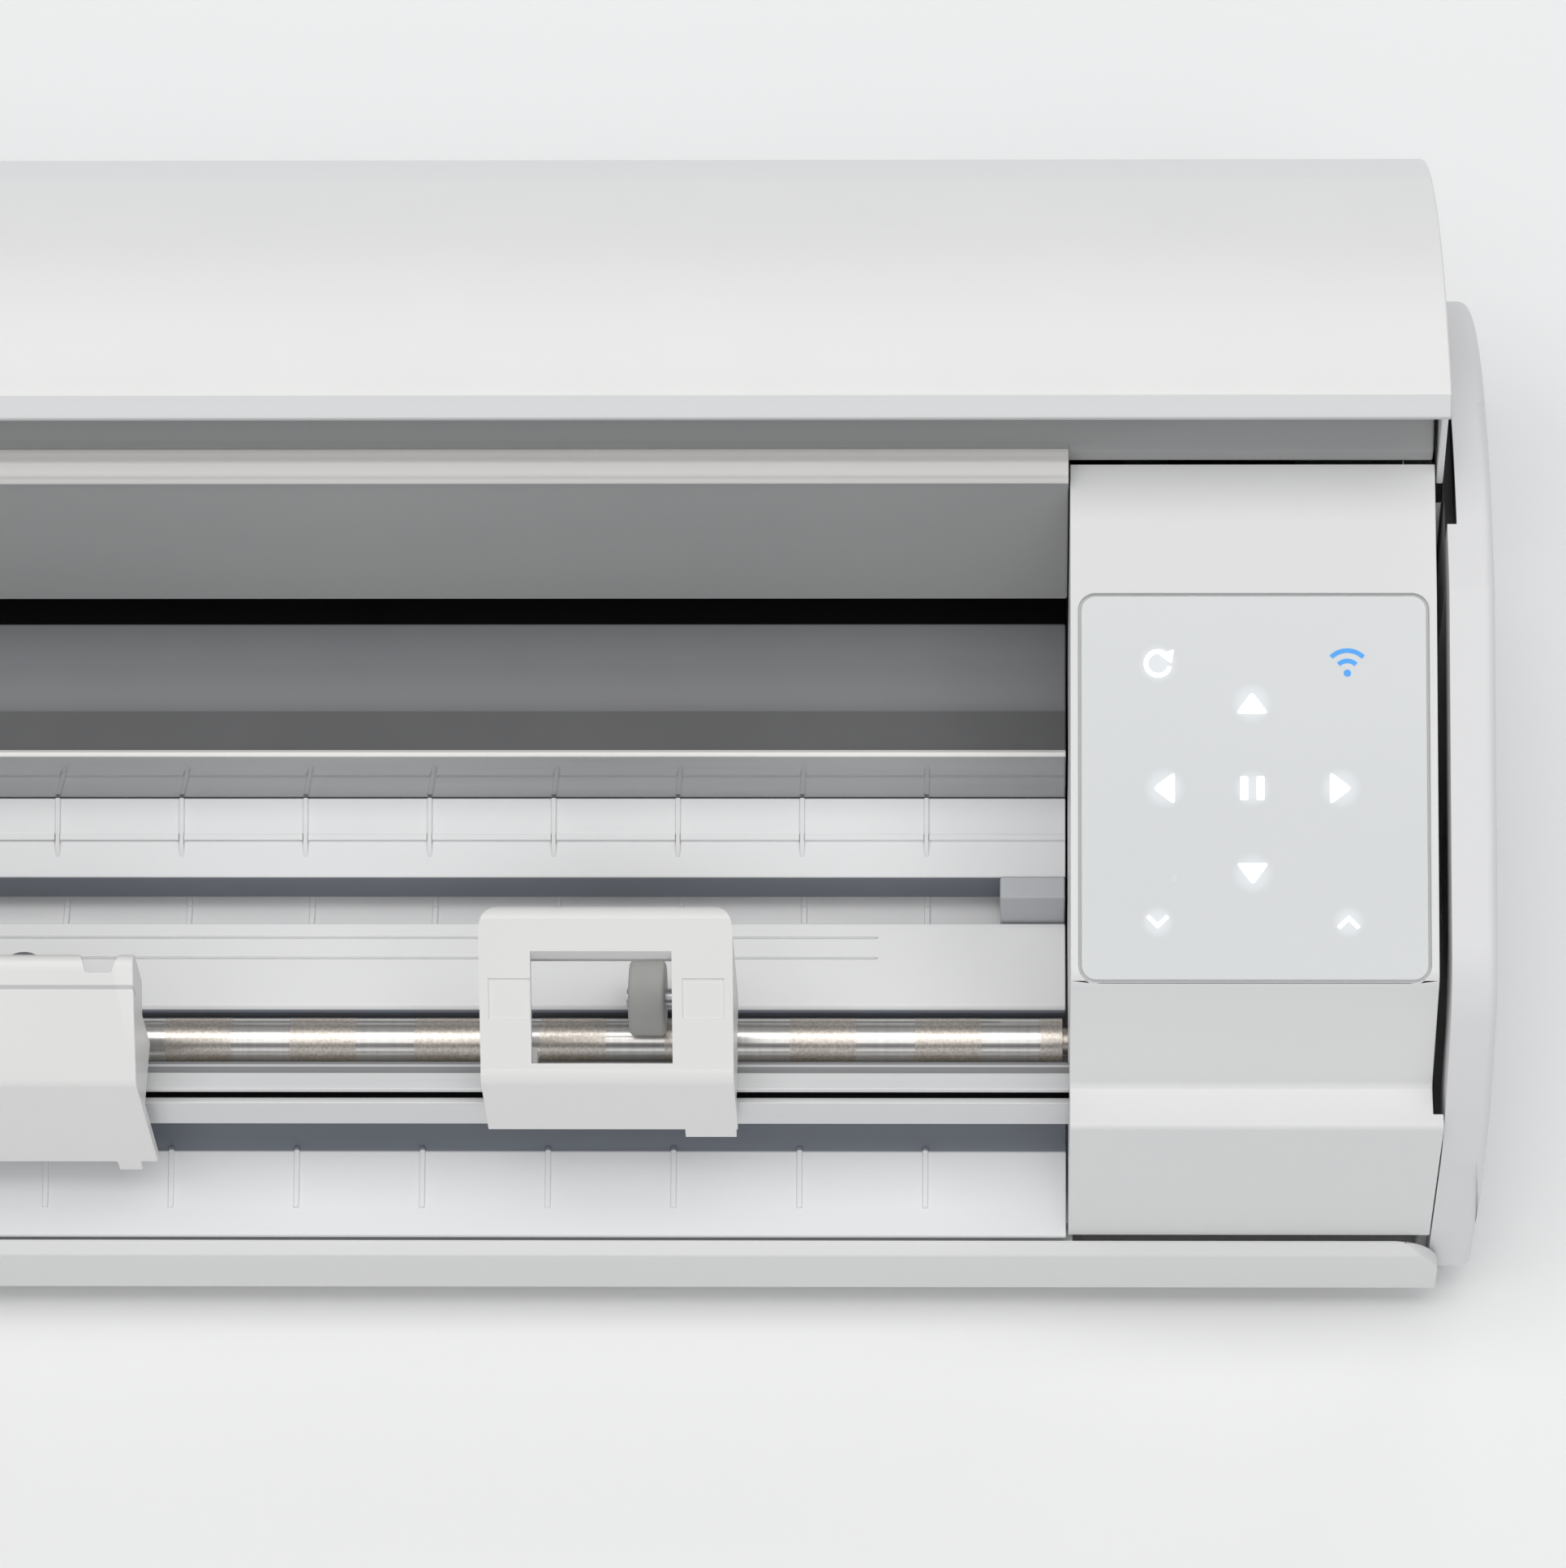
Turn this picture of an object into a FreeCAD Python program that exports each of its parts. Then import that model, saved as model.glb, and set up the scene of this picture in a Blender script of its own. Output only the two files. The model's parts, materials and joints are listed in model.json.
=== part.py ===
import FreeCAD, Part
import math
import os

import Sketcher

# Desktop vinyl cutter, lid open.
# +X runs to the right, +Y to the back, +Z up.  The origin is on the floor, straight below the middle of
# the lid's hinge line.  Outlines are drawn as (distance back from the front lip, height); every piece is
# then shifted forward, so that the hinge line stands over the origin.

DOC = FreeCAD.newDocument("VinylCutter")

DIMENSIONS = {
    "width": (570, "overall width across the end caps"),
    "depth": (195, "front lip to rear panel"),
    "cap_thick": (9.3, "thickness of an end cap"),
    "lid_slot": (2.4, "slot between console and end cap in which the lid's cheeks turn"),
    "console_wide": (74.3, "width of a console"),
    "shell": (2.5, "wall of the moulded shells"),
    "foot_tall": (8, "height of the rubber feet"),
    "foot_radius": (9, "radius of a rubber foot"),
    "lip_thick": (3, "thickness of the front lip, which is the drawer front"),
    "front_face": (4, "front face of the consoles, behind the lip"),
    "console_base": (26.8, "lower edge of the consoles"),
    "ledge": (77.3, "height of the ledge that the closed lid rests on"),
    "panel_low": (22.1, "front end of the sloping touch face"),
    "panel_low_up": (107.5, "height of that end"),
    "panel_wide": (70, "width of the touch panel"),
    "panel_long": (78, "length of the touch panel up the slope"),
    "panel_tilt": (24, "slope of the touch panel in degrees"),
    "panel_thick": (1.3, "thickness of the touch panel"),
    "pivot_back": (117.4, "lid pivot, behind the lip"),
    "pivot_up": (56, "lid pivot, height"),
    "lid_radius": (118, "outside of the lid shell"),
    "lid_wall": (2.6, "wall of the lid shell"),
    "lid_gap": (0.6, "clearance between the lid and an end cap"),
    "cheek_thick": (1.4, "thickness of the lid's end cheeks"),
    "lid_rear": (2.6, "angle of the rear edge of the open lid in degrees"),
    "lid_front": (91.3, "angle of the front edge of the open lid in degrees"),
    "cover_radius": (109.5, "outside of the rear cover, about the lid pivot"),
    "cap_radius": (87, "rear top of the end caps, about the lid pivot"),
    "chassis_up": (24.9, "underside of the steel chassis plate"),
    "chassis_thick": (1.5, "thickness of the chassis plate"),
    "shaft_back": (44.8, "grit roller, behind the lip"),
    "shaft_up": (37, "grit roller, height"),
    "grit_radius": (5, "radius of the grit roller"),
    "journal_radius": (3, "radius of the roller's journals"),
    "wheel_back": (48.5, "pinch wheel, behind the lip"),
    "wheel_up": (49.8, "pinch wheel, height"),
    "wheel_radius": (8, "radius of a pinch wheel"),
    "wheel_wide": (7.6, "width of a pinch wheel"),
    "arm_back": (36, "pivot of a pinch arm, behind the lip"),
    "arm_up": (76, "pivot of a pinch arm, height"),
    "running_gap": (0.05, "radial clearance of a running fit"),
    "rail_front": (18, "front face of the carriage rail"),
    "rail_low": (51, "underside of the carriage rail"),
    "rail_top": (64, "top of the carriage rail"),
    "belt_up": (57.5, "height of the pulley axes"),
    "pulley_out": (222, "distance of each pulley axis from the middle"),
    "pulley_radius": (3.3, "radius of the belt pulleys"),
    "rib_pitch": (26.7, "spacing of the ribs across the bed"),
    "rib_right": (168.7, "position of the rightmost rib"),
    "rib_wide": (1.1, "width of a rib"),
    "housing_wide": (52, "width of a pinch housing"),
    "housing_right": (78, "left side of the adjustable pinch housing"),
    "housing_left": (-198, "left side of the fixed pinch housing"),
    "carriage_left": (-62.4, "left side of the tool carriage"),
    "carriage_wide": (70, "width of the tool carriage"),
    "tool_radius": (4, "radius of a tool barrel"),
    "drawer_up": (9, "lower edge of the drawer front"),
    "drawer_top": (26.2, "top of the drawer front"),
    "tray_half": (200, "half width of the drawer tray"),
    "tray_long": (112, "back of the drawer tray, behind the lip"),
    "feed_radius": (5.2, "radius of the roll-feed rollers"),
    "feed_up": (17.8, "height of the roll-feed rollers"),
    "feed_front": (30, "front roll-feed roller, behind the lip"),
    "feed_rear": (70, "rear roll-feed roller, behind the lip"),
    "gear_teeth": (18, "teeth of the roller gear"),
    "pinion_teeth": (12, "teeth of the motor pinion"),
    "gear_module": (1, "module of the gear pair"),
}


class Size:
    """A length that carries both its number and the sheet expression that it comes from."""

    def __init__(self, number, text):
        self.number = float(number)
        self.text = text

    def __add__(self, other):
        other = size(other)
        return Size(self.number + other.number, f"({self.text} + {other.text})")

    def __sub__(self, other):
        other = size(other)
        return Size(self.number - other.number, f"({self.text} - {other.text})")

    def __mul__(self, other):
        other = size(other)
        return Size(self.number * other.number, f"({self.text} * {other.text})")

    def __truediv__(self, other):
        other = size(other)
        return Size(self.number / other.number, f"({self.text} / {other.text})")

    def __radd__(self, other):
        return size(other) + self

    def __rsub__(self, other):
        return size(other) - self

    def __rmul__(self, other):
        return size(other) * self

    def __neg__(self):
        return Size(-self.number, f"(0 - {self.text})")


def size(value):
    """Any number as a Size."""
    if isinstance(value, Size):
        return value
    text = f"{float(value):.6g}"
    return Size(value, text if value >= 0 else f"(0 - {-float(value):.6g})")


def make_sheet():
    """The spreadsheet of driving dimensions, and a dictionary of them as Sizes."""
    sheet = DOC.addObject("Spreadsheet::Sheet", "Dims")
    known = {}
    for row, (name, (value, note)) in enumerate(DIMENSIONS.items(), start=1):
        sheet.set(f"A{row}", name)
        sheet.set(f"B{row}", str(value))
        sheet.set(f"C{row}", note)
        sheet.setAlias(f"B{row}", name)
        known[name] = Size(value, f"Dims.{name}")
    DOC.recompute()
    return known


D = make_sheet()
PIECES = []


def bind(item, prop, value):
    """Set a property from a Size, bound to the sheet."""
    item.setExpression(prop, size(value).text)


def polar(radius, angle):
    """The outline point at an angle (degrees up from straight back) about the lid pivot."""
    radius = size(radius)
    angle = size(angle)
    turn = math.radians(angle.number)
    back = Size(radius.number * math.cos(turn), f"({radius.text} * cos({angle.text} * 1 deg))")
    up = Size(radius.number * math.sin(turn), f"({radius.text} * sin({angle.text} * 1 deg))")
    return D["pivot_back"] + back, D["pivot_up"] + up


def keep(item, label):
    """Name a finished piece and shift it from outline coordinates into the object's frame."""
    item.Label = label
    bind(item, "Placement.Base.y", -D["pivot_back"])
    PIECES.append(item)
    return item


def body(label):
    """A new PartDesign body that will become one piece."""
    return keep(DOC.addObject("PartDesign::Body", label), label)


def plane_of(piece, role):
    return next(item for item in piece.Origin.OriginFeatures if item.Role == role)


def new_sketch(piece, role, start):
    """A sketch on one of the body's origin planes, moved along that plane's positive axis to start."""
    sketch = piece.newObject("Sketcher::SketchObject", "Outline")
    sketch.AttachmentSupport = [(plane_of(piece, role), "")]
    sketch.MapMode = "FlatFace"
    offset = -size(start) if role == "XZ_Plane" else size(start)
    bind(sketch, "AttachmentOffset.Base.z", offset)
    return sketch


def pin_point(sketch, geometry, end, across, up):
    """Hold one point of a sketch at (across, up)."""
    for kind, value, axis in (("DistanceX", across, -2), ("DistanceY", up, -1)):
        value = size(value)
        if abs(value.number) < 1e-9:
            sketch.addConstraint(Sketcher.Constraint("PointOnObject", geometry, end, axis))
            continue
        index = sketch.addConstraint(Sketcher.Constraint(kind, -1, 1, geometry, end, value.number))
        sketch.setExpression(f"Constraints[{index}]", value.text)


def arc_between(first, last, radius):
    """The minor arc between two points; a positive radius turns left, a negative one turns right."""
    chord = last - first
    half = chord.Length / 2
    sagitta = abs(radius) - math.sqrt(radius * radius - half * half)
    right = FreeCAD.Vector(chord.y, -chord.x, 0).normalize()
    middle = (first + last) * 0.5 + right * (sagitta if radius > 0 else -sagitta)
    return Part.Arc(first, middle, last)


def draw(sketch, points):
    """A closed outline of points (across, up), with a radius as third value where an arc starts."""
    spots = [FreeCAD.Vector(size(p[0]).number, size(p[1]).number, 0) for p in points]
    ends = []
    for index, point in enumerate(points):
        first = spots[index]
        last = spots[(index + 1) % len(points)]
        if len(point) == 3:
            radius = size(point[2])
            number = sketch.addGeometry(arc_between(first, last, radius.number))
            bend = sketch.addConstraint(Sketcher.Constraint("Radius", number, abs(radius.number)))
            sketch.setExpression(f"Constraints[{bend}]", f"abs({radius.text})")
            ends.append((number, 1, 2) if radius.number > 0 else (number, 2, 1))
        else:
            number = sketch.addGeometry(Part.LineSegment(first, last))
            ends.append((number, 1, 2))
    for index, (number, start, _) in enumerate(ends):
        before, _, finish = ends[index - 1]
        sketch.addConstraint(Sketcher.Constraint("Coincident", before, finish, number, start))
        pin_point(sketch, number, start, points[index][0], points[index][1])


def draw_circles(sketch, circles):
    """Circles given as (across, up, radius)."""
    for across, up, radius in circles:
        centre = FreeCAD.Vector(size(across).number, size(up).number, 0)
        circle = Part.Circle(centre, FreeCAD.Vector(0, 0, 1), size(radius).number)
        number = sketch.addGeometry(circle)
        index = sketch.addConstraint(Sketcher.Constraint("Radius", number, size(radius).number))
        sketch.setExpression(f"Constraints[{index}]", size(radius).text)
        pin_point(sketch, number, 3, across, up)


def feature(piece, kind, role, start, length, points=None, circles=None):
    """Pad or Pocket that grows from start along the positive axis of the named plane."""
    sketch = new_sketch(piece, role, start)
    if points:
        draw(sketch, points)
    if circles:
        draw_circles(sketch, circles)
    made = piece.newObject(f"PartDesign::{kind}", kind)
    made.Profile = sketch
    bind(made, "Length", length)
    made.Reversed = (role == "XZ_Plane") if kind == "Pad" else (role != "XZ_Plane")
    return made


def pad(piece, start, length, points=None, circles=None, role="YZ_Plane"):
    return feature(piece, "Pad", role, start, length, points, circles)


def pocket(piece, start, length, points=None, circles=None, role="YZ_Plane"):
    """A Pocket that is checked to have taken material away."""
    DOC.recompute()
    before = piece.Shape.Volume
    made = feature(piece, "Pocket", role, start, length, points, circles)
    DOC.recompute()
    if piece.Shape.Volume > before - 0.5:
        raise RuntimeError(f"{piece.Label}: a pocket cuts nothing")
    return made


def ribs(piece, feature_made, count):
    """Repeat a rib to the left at the rib pitch."""
    pattern = piece.newObject("PartDesign::LinearPattern", "Ribs")
    pattern.Originals = [feature_made]
    pattern.Direction = (plane_of(piece, "YZ_Plane"), [""])
    pattern.Reversed = True
    pattern.Occurrences = count
    bind(pattern, "Length", D["rib_pitch"] * (count - 1))
    piece.Tip = pattern
    return pattern


def rectangle(low_a, low_b, high_a, high_b):
    return [(low_a, low_b), (high_a, low_b), (high_a, high_b), (low_a, high_b)]


def box(label, x_from, back_from, up_from, x_to, back_to, up_to):
    """A plain block between two corners, as a Part primitive."""
    item = DOC.addObject("Part::Box", label)
    for prop, low, high in (
        ("Length", x_from, x_to),
        ("Width", back_from, back_to),
        ("Height", up_from, up_to),
    ):
        bind(item, prop, size(high) - low)
    bind(item, "Placement.Base.x", x_from)
    bind(item, "Placement.Base.y", back_from)
    bind(item, "Placement.Base.z", up_from)
    return item


AXES = {"x": ((0, 1, 0), 90), "y": ((1, 0, 0), -90), "z": ((0, 0, 1), 0)}


def round_bar(axis, x, back, up, radius, length, top_radius=None):
    """A cylinder, or a cone when the radius at its far end is given, from a point along +X, +Y or +Z."""
    kind = "Part::Cylinder" if top_radius is None else "Part::Cone"
    item = DOC.addObject(kind, "Round")
    direction, degrees = AXES[axis]
    item.Placement.Rotation = FreeCAD.Rotation(FreeCAD.Vector(*direction), degrees)
    if top_radius is None:
        bind(item, "Radius", radius)
    else:
        bind(item, "Radius1", radius)
        bind(item, "Radius2", top_radius)
    bind(item, "Height", length)
    bind(item, "Placement.Base.x", x)
    bind(item, "Placement.Base.y", back)
    bind(item, "Placement.Base.z", up)
    return item


def fuse(items):
    joined = DOC.addObject("Part::MultiFuse", "Joined")
    joined.Shapes = items
    return joined


def cut(base, tools):
    left = DOC.addObject("Part::Cut", "Cut")
    left.Base = base
    left.Tool = tools[0] if len(tools) == 1 else fuse(tools)
    return left


def group(items):
    """Separate solids that share one node."""
    made = DOC.addObject("Part::Compound", "Group")
    made.Links = items
    return made


half_width = D["width"] / 2
cap_inner = half_width - D["cap_thick"]
console_out = cap_inner - D["lid_slot"]
console_in = console_out - D["console_wide"]
chassis_top = D["chassis_up"] + D["chassis_thick"]
rear_face = D["depth"]
wall = D["shell"]
SIDES = (("left", -1), ("right", 1))


def side_span(side, inner, outer):
    """Start and length along X of a piece that lies between two distances from the middle."""
    return (inner, outer - inner) if side > 0 else (-outer, outer - inner)


# ---------------------------------------------------------------- case


def base_pan():
    """Floor of the case: a plate with low side walls and a rear wall, open at the front for the drawer."""
    pan = body("base_pan")
    floor = D["foot_tall"] + wall
    pad(pan, -cap_inner, cap_inner * 2, rectangle(7, D["foot_tall"], rear_face, floor))
    walls = D["chassis_up"] - floor
    for _, side in SIDES:
        start, _ = side_span(side, cap_inner - wall, cap_inner)
        pad(pan, floor, walls, rectangle(start, 7, start + wall, rear_face), role="XY_Plane")
    back = rectangle(-cap_inner, rear_face - wall, cap_inner, rear_face)
    pad(pan, floor, walls, back, role="XY_Plane")


def rubber_feet():
    feet = []
    for x in (-248, 248):
        for back in (26, 170):
            feet.append(round_bar("z", x, back, 0, D["foot_radius"] - 1, D["foot_tall"], D["foot_radius"]))
    keep(group(feet), "rubber_feet")


def case_screws():
    screws = []
    for x in (-262, -150, 150, 262):
        for back in (60, 140):
            head = round_bar("z", x, back, D["foot_tall"] - 1.2, 2.8, 1.2)
            socket = round_bar("z", x, back, D["foot_tall"] - 1.2, 1.2, 0.7)
            screws.append(cut(head, [socket]))
    keep(group(screws), "case_screws")


def chassis_plate():
    plate = body("chassis_plate")
    pad(plate, -console_out, console_out * 2, rectangle(7, D["chassis_up"], rear_face - wall, chassis_top))


def cap_outline():
    """Side view of an end cap: upright front, long slope, and a round rear top about the lid pivot."""
    crest_back, crest_up = polar(D["cap_radius"], 88)
    fall_back, fall_up = polar(D["cap_radius"], 27)
    return [
        (D["front_face"], 12),
        (rear_face - 6, 12, 6),
        (rear_face, 18),
        (rear_face, fall_up - 4, 12),
        (fall_back, fall_up, D["cap_radius"]),
        (crest_back, crest_up, 150),
        (93.4, 141.4),
        (27, 111.8, 25),
        (14, 97.5, 130),
        (D["front_face"], 62),
    ]


def end_caps():
    """Thick side covers with a rounded outer rim, hollow from the inside, with a bore for the lid's pin."""
    side = -1
    cap = body("end_cap_left")
    start, length = side_span(side, cap_inner, half_width)
    first = pad(cap, start, length, cap_outline())
    DOC.recompute()
    outer = half_width.number * side
    rim = []
    for index, edge in enumerate(first.Shape.Edges, start=1):
        if all(abs(vertex.X - outer) < 1e-6 for vertex in edge.Vertexes):
            rim.append(f"Edge{index}")
    rounding = cap.newObject("PartDesign::Fillet", "Rim")
    rounding.Base = (first, rim)
    rounding.Radius = 2
    DOC.recompute()
    hollow, deep = side_span(side, cap_inner, cap_inner + D["cap_thick"] - wall - 1)
    for outline in (
        [(14, 20), (100, 20), (100, 132), (33, 102), (22, 88), (14, 60)],
        [(134, 20), (184, 20), (184, 106), (160, 126), (134, 136)],
    ):
        pocket(cap, hollow, deep, outline)
    bore, bore_deep = side_span(side, cap_inner, cap_inner + 6)
    pin_hole = [(D["pivot_back"], D["pivot_up"], 4 + D["running_gap"])]
    pocket(cap, bore, bore_deep, circles=pin_hole)
    slot, slot_deep = side_span(side, cap_inner, cap_inner + 1.8)
    inner_back, inner_up = polar(D["cap_radius"] - 5, 96)
    far_back, far_up = polar(D["cap_radius"] - 5, 36)
    near_back, near_up = polar(D["cap_radius"] + 3, 96)
    end_back, end_up = polar(D["cap_radius"] + 3, 36)
    crest_slot = [
        (inner_back, inner_up, -(D["cap_radius"] - 5)),
        (far_back, far_up),
        (end_back, end_up, D["cap_radius"] + 3),
        (near_back, near_up),
    ]
    pocket(cap, slot, slot_deep, crest_slot)
    right = DOC.addObject("Part::Mirroring", "end_cap_right")
    right.Source = cap
    right.Normal = FreeCAD.Vector(1, 0, 0)
    PIECES.append(right)


def console_outline(inset=0):
    """Side view of a console: front, ledge, steep nose, touch slope and rear slope."""
    return [
        (D["front_face"] + inset, D["console_base"]),
        (119.8, D["console_base"]),
        (119.8, 147.5 - inset),
        (93.4 + inset / 3, 139.2 - inset),
        (D["panel_low"] + 2.4 + inset * 0.7, D["panel_low_up"] + 1.1 - inset * 0.8, 4),
        (D["panel_low"] - 0.6 + inset, D["panel_low_up"] - 2.2),
        (14 + inset, D["ledge"] + 1.2, -4),
        (12.8 + inset * 0.3, D["ledge"] - inset),
        (D["front_face"] + inset + 1.2, D["ledge"] - inset, 1.2),
        (D["front_face"] + inset, D["ledge"] - 1.2 - inset),
    ]


def console(name, side):
    """Moulded box at one end of the bed; the right one carries the touch panel."""
    item = body(f"console_{name}")
    start, length = side_span(side, console_in, console_out)
    pad(item, start, length, console_outline())
    hollow, deep = side_span(side, console_in + wall, console_out - wall)
    inner = console_outline(wall.number)
    inner[0] = (D["front_face"] + wall, D["console_base"] - 1)
    inner[1] = (119.8 - wall, D["console_base"] - 1)
    inner[2] = (119.8 - wall, 147.5 - wall - 0.8)
    pocket(item, hollow, deep, inner)
    lining, lining_deep = side_span(side, console_in, console_in + wall)
    pocket(item, lining, lining_deep, rectangle(17, 50, 27.5, 65))
    pocket(item, lining, lining_deep, circles=[(D["shaft_back"], D["shaft_up"], D["journal_radius"] + 1)])
    filler, filler_wide = side_span(side, console_out, cap_inner - 0.3)
    strip = [
        (D["front_face"], D["console_base"]),
        (D["front_face"] + 3.2, D["console_base"]),
        (D["front_face"] + 3.2, D["ledge"]),
        (D["front_face"] + 1.2, D["ledge"], 1.2),
        (D["front_face"], D["ledge"] - 1.2),
    ]
    pad(item, filler, filler_wide, strip)
    return item


def touch_panel_block(label, margin, thick, sink):
    """A block lying in the touch slope, its face a given depth below the slope."""
    tilt = D["panel_tilt"].number
    item = DOC.addObject("Part::Box", label)
    bind(item, "Length", D["panel_wide"] + 2 * margin)
    bind(item, "Width", D["panel_long"] + 2 * margin)
    bind(item, "Height", thick)
    item.Placement.Rotation = FreeCAD.Rotation(FreeCAD.Vector(1, 0, 0), tilt)
    run = math.cos(math.radians(tilt))
    rise = math.sin(math.radians(tilt))
    middle = (console_in + console_out) / 2
    depth = size(thick) + sink
    bind(item, "Placement.Base.x", middle - D["panel_wide"] / 2 - margin)
    bind(item, "Placement.Base.y", D["panel_low"] + depth * rise - margin * run)
    bind(item, "Placement.Base.z", D["panel_low_up"] - depth * run - margin * rise)
    return item


def rounded_block(block, radius):
    """Round the four corners of a block that runs through its thickness."""
    DOC.recompute()
    item = DOC.addObject("Part::Fillet", "Corners")
    item.Base = block
    direction = block.Placement.Rotation.multVec(FreeCAD.Vector(0, 0, 1))
    chosen = []
    for index, edge in enumerate(block.Shape.Edges, start=1):
        along = edge.Vertexes[1].Point - edge.Vertexes[0].Point
        if abs(abs(along.normalize().dot(direction)) - 1) < 1e-6:
            chosen.append((index, radius, radius))
    item.Edges = chosen
    return item


def right_console():
    """The right console with its recess for the touch panel, and the panel itself."""
    shell = console("right", 1)
    PIECES.remove(shell)
    shell.Label = "console_shell"
    bind(shell, "Placement.Base.y", 0)
    recess = rounded_block(touch_panel_block("Recess", 0.55, D["panel_thick"] + 4, -4), 3.5)
    keep(cut(shell, [recess]), "console_right")
    panel = rounded_block(touch_panel_block("Panel", 0, D["panel_thick"] - 0.1, 0), 3)
    keep(panel, "touch_panel")


def rear_cover():
    """Fixed hood behind the bed, round about the lid pivot, with a rolled front lip and a front wall."""
    cover = body("rear_cover")
    half = console_out - 0.5
    radius = D["cover_radius"]
    crest_back, crest_up = polar(radius, 83)
    low_back, low_up = polar(radius, 45)
    inner_crest_back, inner_crest_up = polar(radius - wall, 83)
    inner_low_back, inner_low_up = polar(radius - wall, 46)
    outline = [
        (120.2, 148),
        (120.2 + wall, 148),
        (inner_crest_back, inner_crest_up, -(radius - wall)),
        (inner_low_back, inner_low_up),
        (rear_face - wall, 128),
        (rear_face - wall, 104),
        (rear_face, 104),
        (rear_face, 130),
        (low_back, low_up, radius),
        (crest_back, crest_up),
        (120.2, 151.6),
    ]
    pad(cover, -half, half * 2, outline)
    middle = console_in - 0.3
    roll = [
        (115, 103),
        (117, 103),
        (117, 148),
        (122, 149),
        (122, 153.5),
        (119.5, 152.4, 3.4),
        (115, 149),
    ]
    pad(cover, -middle, middle * 2, roll)


def rear_panel():
    """Upright rear wall with the media slot, the inlet and the port openings.

    Below the lid's cheeks it is wider and closes the slots between the consoles and the end caps.
    """
    panel = body("rear_panel")
    half = console_out - 0.5
    wide_half = cap_inner - 0.3
    face = rear_face - wall
    pad(panel, face, wall, rectangle(-half, chassis_top, half, 103.9), role="XZ_Plane")
    pad(panel, face, wall, rectangle(-wide_half, chassis_top, wide_half, 58), role="XZ_Plane")
    pocket(panel, face, wall, rectangle(-199, 87, 199, 110), role="XZ_Plane")
    pocket(panel, face, wall, rectangle(222, 34, 250, 54), role="XZ_Plane")
    pocket(panel, face, wall, rectangle(200, 38, 212, 49), role="XZ_Plane")


def ports():
    """Mains inlet and data port, set into the rear panel."""
    face = rear_face - 12
    shell = box("InletBody", 222.1, face, 34.1, 249.9, rear_face, 53.9)
    well = box("InletWell", 225, rear_face - 9, 37, 247, rear_face + 1, 51)
    pins = []
    for x in (231, 241):
        pins.append(box("Pin", x - 1, rear_face - 9, 42, x + 1, rear_face - 2, 46))
    keep(fuse([cut(shell, [well])] + pins), "power_inlet")
    frame = box("PortBody", 200.1, face, 38.1, 211.9, rear_face, 48.9)
    mouth = box("PortWell", 202, rear_face - 8, 39.5, 210, rear_face + 1, 47.5)
    tongue = box("Tongue", 204, rear_face - 8, 42, 208, rear_face - 1, 45)
    keep(fuse([cut(frame, [mouth]), tongue]), "data_port")


# ---------------------------------------------------------------- bed

bed_half = console_in - 0.5


def rear_guide():
    """Smooth plate that carries the material from the bed up and out through the rear slot."""
    guide = body("rear_guide")
    outline = [
        (94.7, 74.6),
        (104.7, 74.6, 20),
        (112.9, 78),
        (120, 84.5),
        (rear_face - wall - 0.5, 84.5),
        (rear_face - wall - 0.5, 82.5),
        (121, 82.5),
        (114, 76.2),
        (105.2, 72.6),
        (94.7, 72.6),
    ]
    pad(guide, -bed_half, bed_half * 2, outline)


def deck_riser():
    """Glossy upright strip between the ribbed deck and the rear guide."""
    riser = body("deck_riser")
    outline = [(92.9, chassis_top), (94.6, chassis_top), (94.6, 75.4), (93.6, 75.9), (92.9, 75.4)]
    pad(riser, -bed_half, bed_half * 2, outline)


def rear_deck():
    """Sloping ribbed deck behind the bed."""
    deck = body("rear_deck")
    slab = [(77.8, 50), (92.7, 58), (92.7, 55.5), (80.5, 49), (80.5, 41), (77.8, 41)]
    pad(deck, -bed_half, bed_half * 2, slab)
    strip = [(84.5, 53), (85.6, 53.6), (85.6, 54.9), (84.5, 54.3)]
    pad(deck, -bed_half, bed_half * 2, strip)
    raised = [(81.5, 52), (92.5, 57.9), (92.5, 58.7), (83, 53.6)]
    rib = pad(deck, D["rib_right"] - D["rib_wide"] / 2, D["rib_wide"], raised)
    ribs(deck, rib, 14)


def valley_floor():
    """Sunken ribbed floor between the landing and the deck."""
    floor = body("valley_floor")
    slab = [(72.2, 35), (77.5, 35), (92.6, 41), (92.6, 39), (78, 33), (72.2, 33)]
    pad(floor, -bed_half, bed_half * 2, slab)
    raised = [(72.3, 34.9), (77.5, 34.9), (84, 37.5), (84, 38.4), (77.5, 35.8), (72.3, 35.8)]
    rib = pad(floor, D["rib_right"] - D["rib_wide"] / 2, D["rib_wide"], raised)
    ribs(floor, rib, 14)


def landing():
    """Smooth bar behind the grit roller that carries the material, with two fine grooves."""
    bar = body("landing")
    outline = [
        (50.8, 35),
        (52.4, 35),
        (52.4, chassis_top),
        (54, chassis_top),
        (54, 37.5),
        (70, 37.5),
        (70, chassis_top),
        (71.9, chassis_top),
        (71.9, 40),
        (52, 40),
        (50.8, 38.8),
    ]
    pad(bar, -bed_half, bed_half * 2, outline)
    for back in (63.2, 68.2):
        pocket(bar, -bed_half, bed_half + 158, rectangle(back, 39.7, back + 0.5, 40.5))


def end_blocks():
    """Small stop blocks at both ends of the valley."""
    blocks = []
    for _, side in SIDES:
        start, length = side_span(side, console_in - 14.5, console_in - 0.6)
        blocks.append(box("Stop", start, 72.4, 36.2, start + length, 77.6, 50.5))
    keep(group(blocks), "end_blocks")


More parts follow.
